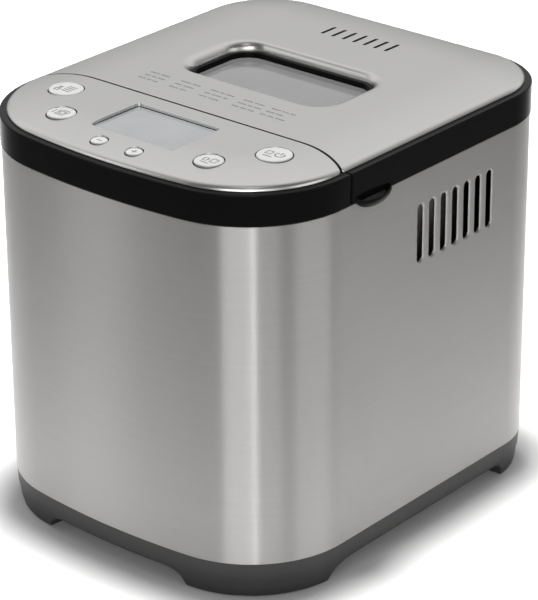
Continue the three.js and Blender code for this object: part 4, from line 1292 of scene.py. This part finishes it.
def chamber_liner():
    x, y, r = CHAMBER_X, CHAMBER_HALF_Y, CHAMBER_CORNER
    loop = lambda grow: rounded(0, CHAMBER_Y, x + grow, y + grow, r + grow, 14)
    build = Build()
    floor_z = LINER_LOW + 1
    walls = [at(loop(-s), floor_z + d) for s, d in fillet(4, 6)]
    walls += [at(loop(0), 120), at(loop(0), 200), at(loop(0), LINER_TOP - 1.2)]
    walls += [at(loop(s), LINER_TOP - d) for s, d in ((0.1, 0.7), (0.35, 0.35), (0.7, 0.1), (1.2, 0))]
    walls += [at(loop(FLANGE - s), LINER_TOP - d) for s, d in ((0.3, 0), (0, 0.3), (0, 1))]
    walls += [at(loop(1), LINER_TOP - 1), at(loop(1), LINER_LOW + 4)]
    walls += [at(loop(1 - s), LINER_LOW + d) for s, d in reversed(fillet(4, 6))][1:]
    build.loft(walls)
    hole = circle(0, CHAMBER_Y, 14, 48)
    build.sheet([loop(-4), hole], [], level(floor_z))
    build.sheet([loop(-3), hole], [], level(LINER_LOW))
    build.loft([at(hole, floor_z), at(hole, LINER_LOW)])
    build.make("liner", LINER, "housing", ["chamber_liner"], "aluminium", 40)


def heating_element():
    """A rod that runs round the chamber, with its two leads towards the front."""
    x = span("heating_element")[0][1] - ELEMENT_RADIUS
    front, back = CHAMBER_Y - ELEMENT_REACH, CHAMBER_Y + ELEMENT_REACH
    z, lead = middle("heating_element")[2], span("heating_element")[1][0]
    corners = [(LEAD_X, lead, z), (LEAD_X, front, z), (x, front, z), (x, back, z)]
    corners += [(-u, y, z) for u, y, z in reversed(corners)]
    rod = tube(bent(corners, [6, 20, 20, 20, 20, 6]), ELEMENT_RADIUS, 24)
    rod.make("element", HEATER, "housing", ["heating_element"], "heater_steel", 50)


def bracket(side, sign):
    """A folded clip that carries the element on the chamber's wall."""
    node = f"element_bracket_{side}"
    (x0, x1), (y0, y1), (z0, z1) = span(node)
    wall, tip = (x1, x0) if sign > 0 else (x0, x1)
    shelf = z0 + 3
    nose = ((0.6, z0), (0.15, z0 + 0.3), (0, z0 + 1.0), (0, shelf - 0.6), (0.2, shelf - 0.15), (0.6, shelf))
    back = ((5.6, shelf), (4.9, shelf + 0.3), (4.9, z1 - 0.8), (4.6, z1 - 0.2), (4.0, z1), (0.4, z1))
    loop = [(wall, z0 + 0.5), (wall - sign * 0.5, z0)] + [(tip + sign * a, z) for a, z in nose]
    loop += [(wall - sign * a, z) for a, z in back] + [(wall, z1 - 0.4)]
    ends = ((y0, 0.95), (y0 + 0.2, 0.985), (y0 + 0.5, 1), (y1 - 0.5, 1), (y1 - 0.2, 0.985), (y1, 0.95))
    clip = swept(ends, loop, lambda y, x, z: (x, y, z))
    clip.make(f"{node}_clip", ZINC, "housing", [node], "zinc_steel", 40)


def temperature_sensor():
    (x0, x1), (y0, y1), _ = span("temperature_sensor")
    y, z = (y0 + y1) / 2, middle("temperature_sensor")[2]
    nose = [(3 * math.cos(a), x1 - 3 + 3 * math.sin(a)) for a in (1.5, 1.2, 0.9, 0.6, 0.3, 0)]
    profile = [(0, x1), *nose, (3, -104.9), (5.5, -104.4), (6, -104.9), (6, -107.5), (5.5, -108), (3, -108)]
    profile += [(3, x0 + 0.4), (2.6, x0), (0, x0)]
    turned(profile, (0, y, z), 40, "X").make("probe", WIRE, "housing", ["temperature_sensor"], "wire_steel")


def centre_piece(name, profile, finish, body, slot, steps):
    """A turned piece on the pan's axis."""
    turned(profile, (0, CHAMBER_Y, 0), steps).make(f"{name}_turned", finish, body, [name], slot)


def softened(corners, radius=0.4):
    """Corners of a turned profile, each cut by a small round of three points."""
    out = []
    count = len(corners)
    for i, corner in enumerate(corners):
        p, a, b = Vector(corner), Vector(corners[i - 1]), Vector(corners[(i + 1) % count])
        reach_a = min(radius, (a - p).length * 0.4)
        reach_b = min(radius, (b - p).length * 0.4)
        if p.x < 0.01:
            out.append(tuple(p))
            continue
        start, end = p + (a - p).normalized() * reach_a, p + (b - p).normalized() * reach_b
        for t in (0.0, 0.33, 0.67, 1.0):
            out.append(tuple((1 - t) ** 2 * start + 2 * t * (1 - t) * p + t * t * end))
    return out


chamber_liner()
heating_element()
bracket("left", -1)
bracket("right", 1)
temperature_sensor()
socket = [(39, 79.5), (50, 79.5), (50, 81), (42, 81), (42, 88), (39, 88)]
centre_piece("pan_socket", softened(socket), ZINC, "housing", "zinc_steel", 80)


# ---- Drive -------------------------------------------------------------------------------------

SHAFT_LOW, SHAFT_HIGH = span("drive_shaft")[2]
shaft = round_profile(SHAFT_LOW, SHAFT_HIGH, 5, 0.7)
centre_piece("drive_shaft", shaft, WIRE, "drive", "wire_steel", 40)


DOG_Y, DOG_X_HALF, DOG_Y_HALF = 9.75, 4, 3.25


def drive_coupler():
    """A round hub with two upright dogs that push the pan's wing."""
    low, high = span("drive_coupler")[2]
    hub = softened([(5.4, low), (14.4, low), (14.4, low + 4.2), (5.4, low + 4.2)], 0.5)
    build = turned(hub, (0, CHAMBER_Y, 0), 64)
    for sign in (1, -1):
        dog = lambda s: rounded(0, CHAMBER_Y + sign * DOG_Y, DOG_X_HALF - s, DOG_Y_HALF - s, 1.2, 5)
        rings = [at(dog(s), high - d) for s, d in fillet(0.6, 4)]
        build.loft([*rings, at(dog(0), low + 3)], start=True, end=True)
    build.make("coupler", ZINC, "drive", ["drive_coupler"], "zinc_steel")


drive_coupler()


# ---- Bread pan ---------------------------------------------------------------------------------

PAN_LOW, PAN_TOP = span("pan_shell")[2]
PAN_FOOT = (79, 58, 22)  # half width, half depth and corner radius at the bottom
PAN_FLARE = (5, 5, 2)  # how much wider the walls are at the top
PAN_RIM = (87, 66, 27)
PAN_WALL, PAN_FLOOR, PAN_HOLE = 1.5, 1.6, 7.9


def pan_shell():
    """A tapered pan with round corners, a rolled rim and a hole for the spindle."""
    def loop(x, y, r):
        return rounded(0, CHAMBER_Y, x, y, r, 14)

    def outside(z):
        t = (z - PAN_LOW - 3) / (PAN_TOP - 3 - PAN_LOW - 3)
        return [a + b * t for a, b in zip(PAN_FOOT, PAN_FLARE)]

    def within(z):
        t = (z - PAN_LOW - 3 - PAN_FLOOR) / (PAN_TOP + 1 - PAN_LOW - 3 - PAN_FLOOR)
        return [a - PAN_WALL + b * t for a, b in zip(PAN_FOOT, PAN_FLARE)]

    build = Build()
    rings = []
    for s, d in fillet(3, 6):
        x, y, r = outside(PAN_LOW + 3)
        rings.append(at(loop(x - s, y - s, r - s), PAN_LOW + d))
    for z in (PAN_LOW + 40, PAN_LOW + 75, PAN_TOP - 3.2):
        rings.append(at(loop(*outside(z)), z))
    rolled = ((1.0, 3.2), (0.3, 2.9), (0, 2.3), (0, 1.2), (0.25, 0.45), (0.9, 0))
    rings += [at(loop(*(a - s for a in PAN_RIM)), PAN_TOP - d) for s, d in rolled]
    for grow, d in ((1.2, 0), (0.4, 0.3)):
        rings.append(at(loop(*(a + grow for a in within(PAN_TOP))), PAN_TOP - d))
    for z in (PAN_TOP - 1.1, PAN_LOW + 75, PAN_LOW + 40):
        rings.append(at(loop(*within(z)), z))
    for s, d in reversed(fillet(3, 6)):
        x, y, r = within(PAN_LOW + 3 + PAN_FLOOR)
        rings.append(at(loop(x - s, y - s, r - s), PAN_LOW + PAN_FLOOR + d))
    build.loft(rings)
    hole = circle(0, CHAMBER_Y, PAN_HOLE, 48)
    for ring, z in ((rings[0], PAN_LOW), (rings[-1], PAN_LOW + PAN_FLOOR)):
        build.sheet([[p[:2] for p in ring], hole], [], level(z))
    build.loft([at(hole, PAN_LOW), at(hole, PAN_LOW + PAN_FLOOR)])
    build.make("pan_body", COATED, "pan", ["pan_shell"], "non_stick", 40)


def pan_lug(side, sign):
    """A riveted tab that the handle turns in."""
    node = f"pan_lug_{side}"
    (x0, x1), _, (z0, _) = span(node)
    near, far = (x0, x1) if sign > 0 else (x1, x0)
    pivot_z = middle("pan_handle")[2]
    plate = far - sign * 2
    bore = circle(CHAMBER_Y, pivot_z, 2.35, 32)

    def outline(s):
        top = arc(CHAMBER_Y, pivot_z - 3, 8 - s, 0, math.pi, 24)
        return [(CHAMBER_Y - 8 + s, z0 + s), (CHAMBER_Y + 8 - s, z0 + s), *top]

    build = Build()
    steps = fillet(0.35, 3)
    rings = [[(far - sign * d, y, z) for y, z in outline(s)] for s, d in steps]
    rings += [[(plate + sign * d, y, z) for y, z in outline(s)] for s, d in reversed(steps)]
    build.loft(rings)
    for x in (far, plate):
        face = Build()
        face.sheet([outline(0.35), bore], [], level(0))
        build.add([(x, y, z) for y, z, _ in face.points], face.faces)
    build.loft([[(far, y, z) for y, z in bore], [(plate, y, z) for y, z in bore]])
    foot = rounded(CHAMBER_Y, z0 + 4, 7.9, 3.9, 0.6, 4)
    build.loft([[(x, y, z) for y, z in foot] for x in (near, plate + sign * 0.4)], start=True, end=True)
    build.make(f"{node}_tab", ZINC, "pan", [node], "zinc_steel")


def pan_handle():
    """A wire bow, folded down towards the front of the pan."""
    z = middle("pan_handle")[2]
    (_, x1), (y0, _), _ = span("pan_handle")
    arm, bar = x1 - 2, y0 + 2
    path = [(86, CHAMBER_Y, z), (arm, CHAMBER_Y, z), (arm, bar, z)]
    path += [(-x, y, z) for x, y, z in reversed(path)]
    wire = tube(bent(path, [4, 10, 10, 4]), 2, 20)
    wire.make("handle_wire", WIRE, "handle", ["pan_handle"], "wire_steel", 50)


pan_shell()
pan_lug("right", 1)
pan_lug("left", -1)
pan_handle()
skirt_top = PAN_LOW - GAP
base_ring = [(PAN_HOLE, 93.6), (32, 93.6), (32, 82.5), (36, 82.5), (36, skirt_top), (PAN_HOLE, skirt_top)]
centre_piece("pan_base", softened(base_ring, 0.6), LINER, "pan", "aluminium", 80)
bush = [(4.5, 93.4), (7.5, 93.4), (7.5, 98.9), (11, 98.9), (11, 101), (4.5, 101)]
centre_piece("pan_bearing", softened(bush), BRASS, "pan", "brass", 48)
SPINDLE_LOW, SPINDLE_HIGH = span("pan_shaft")[2]
spindle = round_profile(SPINDLE_LOW, SPINDLE_HIGH, 4, 0.8)
centre_piece("pan_shaft", spindle, WIRE, "pan_spindle", "wire_steel", 40)


def pan_coupler():
    """A flat wing under the pan, driven by the dogs."""
    low, high = span("pan_coupler")[2]
    x, y = half("pan_coupler", 0), half("pan_coupler", 1)
    wing = lambda s: rounded(0, CHAMBER_Y, x - s, y - s, 2 - s, 6)
    bore = lambda s: circle(0, CHAMBER_Y, 4.4 + s, 32)
    panel([wing, bore], low, high, 0.4).make("wing", ZINC, "pan_spindle", ["pan_coupler"], "zinc_steel")


def kneading_paddle():
    """A hub with one tapering blade that leans into a curve at its end."""
    low, high = span("kneading_paddle")[2]
    hub = [(4.5, low), (9.3, low), (9.5, low + 0.4), (9.2, low + 6), (8, low + 20.4), (7.3, low + 23.5)]
    hub += [(6, low + 25.4), (4, high - 0.35), (2, high - 0.05), (0, high), (0, 124.6), (4.5, 124.6)]
    build = turned(hub, (0, CHAMBER_Y, 0), 56)
    top = lambda x: float(np.interp(x, (5, 30, 38, 44, 47, 49), (124, 123, 120.2, 117, 112.5, 106)))
    rings = []
    for i in range(41):
        x = 5.2 + (48.6 - 5.2) * i / 40
        bottom = low if x < 46 else low + (x - 46) * 1.1
        wide = 2.2 if x < 45 else 2.2 * math.sqrt(max(0.08, 1 - ((x - 45) / 3.9) ** 2))
        ring = rounded(0, (bottom + top(x)) / 2, wide, (top(x) - bottom) / 2, min(1.9, wide * 0.95), 5)
        rings.append([(x, CHAMBER_Y + v, z) for v, z in ring])
    build.loft(rings, start=True, end=True)
    build.make("paddle_blade", COATED, "paddle", ["kneading_paddle"], "non_stick", 45)


pan_coupler()
kneading_paddle()


# ---- Pieces that keep their CAD shape ----------------------------------------------------------

def keep(node, finish):
    """A CAD node keeps its shape, with a procedural finish and smooth shading."""
    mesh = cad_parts[node].data
    mesh.materials.clear()
    mesh.materials.append(finish)
    for polygon in mesh.polygons:
        polygon.material_index = 0
    mesh.shade_smooth()
    mesh.set_sharp_from_angle(angle=math.radians(32))


KEPT = {
    "chassis_plate": ZINC,
    "control_board": BOARD,
    "power_board": BOARD,
    "lcd_module": BLACK,
    "keypad_membrane": RUBBER,
    "main_pulley": DARK,
    "motor_pulley": ZINC,
    "drive_belt": RUBBER,
    "drive_bearing": ZINC,
    "motor_housing": MOTOR,
    "motor_shaft": WIRE,
    "motor_capacitor": MOTOR,
    "thermal_fuse": WIRE,
}
for node, finish in KEPT.items():
    keep(node, finish)


# ---- Floor, light and camera -------------------------------------------------------------------

AIM_HEIGHT = 0.35  # height that the soft boxes point at, in metres
VIEW_AZIMUTH, VIEW_ELEVATION, VIEW_ROLL = 40.47, 25.09, -0.37  # degrees
VIEW_FROM = (1.19401, -1.39308, 0.99361)
LENS = 177.39


def studio_floor():
    """A wide matt disc, with hardly any variation in its grey."""
    build = Build()
    build.loft([at(circle(0, 0, r, 96), 0) for r in (20, 600, 1200, 2400, 4800, 9000)], start=True)
    matt = Finish("studio_floor", (0.62, 0.62, 0.62), 0.8, Specular_IOR_Level=0.2)
    matt.shade(matt.spread(matt.noise(0.8, detail=2.0), 0.0, 1.0), 0.006)
    piece = place("studio_floor", clean_mesh("studio_floor", build))
    piece.data.materials.append(matt.material)


def card(name, azimuth, distance, wide, low, high, power):
    """A tall soft box standing round the machine. Azimuth runs from -Y towards +X, in degrees."""
    a = math.radians(azimuth)
    data = bpy.data.lights.new(name, "AREA")
    data.shape = "RECTANGLE"
    data.size, data.size_y = wide, high - low
    data.energy = power * wide * (high - low)
    piece = place(name, data)
    piece.location = (math.sin(a) * distance, -math.cos(a) * distance, (low + high) / 2)
    aim = Vector((0, 0, AIM_HEIGHT)) - piece.location
    piece.rotation_euler = aim.to_track_quat("-Z", "Y").to_euler()


def pool(name, x, y, height, radius, power):
    """A soft round pool of light on the floor, fading out at a radius from its middle."""
    data = bpy.data.lights.new(name, "SPOT")
    data.energy = power
    data.shadow_soft_size = 0.16
    data.spot_size = 2 * math.atan(radius / height)
    data.spot_blend = 1.0
    piece = place(name, data)
    piece.location = (x, y, height)
    piece.visible_glossy = piece.visible_transmission = False


def surroundings(low, high, toward):
    """A plain studio, bright on the side that azimuth toward points at and dim opposite it."""
    world = bpy.data.worlds.new("studio")
    world.use_nodes = True
    tree = world.node_tree
    background = tree.nodes["Background"]
    coords = tree.nodes.new("ShaderNodeTexCoord")
    dot = tree.nodes.new("ShaderNodeVectorMath")
    dot.operation = "DOT_PRODUCT"
    a = math.radians(toward)
    dot.inputs[1].default_value = (math.sin(a), -math.cos(a), 0.1)
    spread = tree.nodes.new("ShaderNodeMapRange")
    spread.interpolation_type = "SMOOTHSTEP"
    for socket, number in zip(("From Min", "From Max", "To Min", "To Max"), (-0.2, 0.55, low, high)):
        spread.inputs[socket].default_value = number
    tree.links.new(coords.outputs["Generated"], dot.inputs[0])
    tree.links.new(dot.outputs["Value"], spread.inputs["Value"])
    tree.links.new(spread.outputs["Result"], background.inputs["Strength"])
    background.inputs["Color"].default_value = (1, 1, 1, 1)
    bpy.context.scene.world = world


def camera():
    """Looks down on the control panel from the right, as a long lens would."""
    azimuth, elevation, roll = (math.radians(v) for v in (VIEW_AZIMUTH, VIEW_ELEVATION, VIEW_ROLL))
    flat = math.cos(elevation)
    back = Vector((math.sin(azimuth) * flat, -math.cos(azimuth) * flat, math.sin(elevation)))
    right = Vector((math.cos(azimuth), math.sin(azimuth), 0))
    up = back.cross(right)
    across = right * math.cos(roll) + up * math.sin(roll)
    upward = up * math.cos(roll) - right * math.sin(roll)
    data = bpy.data.cameras.new("camera")
    data.sensor_width = 36
    data.lens = LENS
    data.clip_start, data.clip_end = 0.1, 40
    piece = place("camera", data)
    turn = Matrix((across, upward, back)).transposed()
    piece.matrix_world = Matrix.Translation(VIEW_FROM) @ turn.to_4x4()
    bpy.context.scene.camera = piece


studio_floor()
surroundings(0.1, 0.92, 226)
pool("key", 0.0, 0.0, 2.2, 0.76, 400)
pool("rear_pool", -0.52, 0.6, 2.2, 0.9, 400)
card("front_right", 30, 3.0, 1.7, 0.0, 2.0, 8.5)
card("front_right_strip", 43, 3.0, 0.12, 0.0, 2.0, 26)
card("front_right_fade", 58, 3.0, 0.9, 0.0, 2.0, 3.2)
card("right_rear", 99, 3.0, 2.0, 0.0, 2.0, 3.6)
card("front_left", -39, 3.0, 0.7, 0.0, 2.0, 3.6)
card("overhead", 38, 1.1, 0.6, 2.3, 2.9, 6)
camera()
bpy.context.scene.view_settings.view_transform = "Standard"
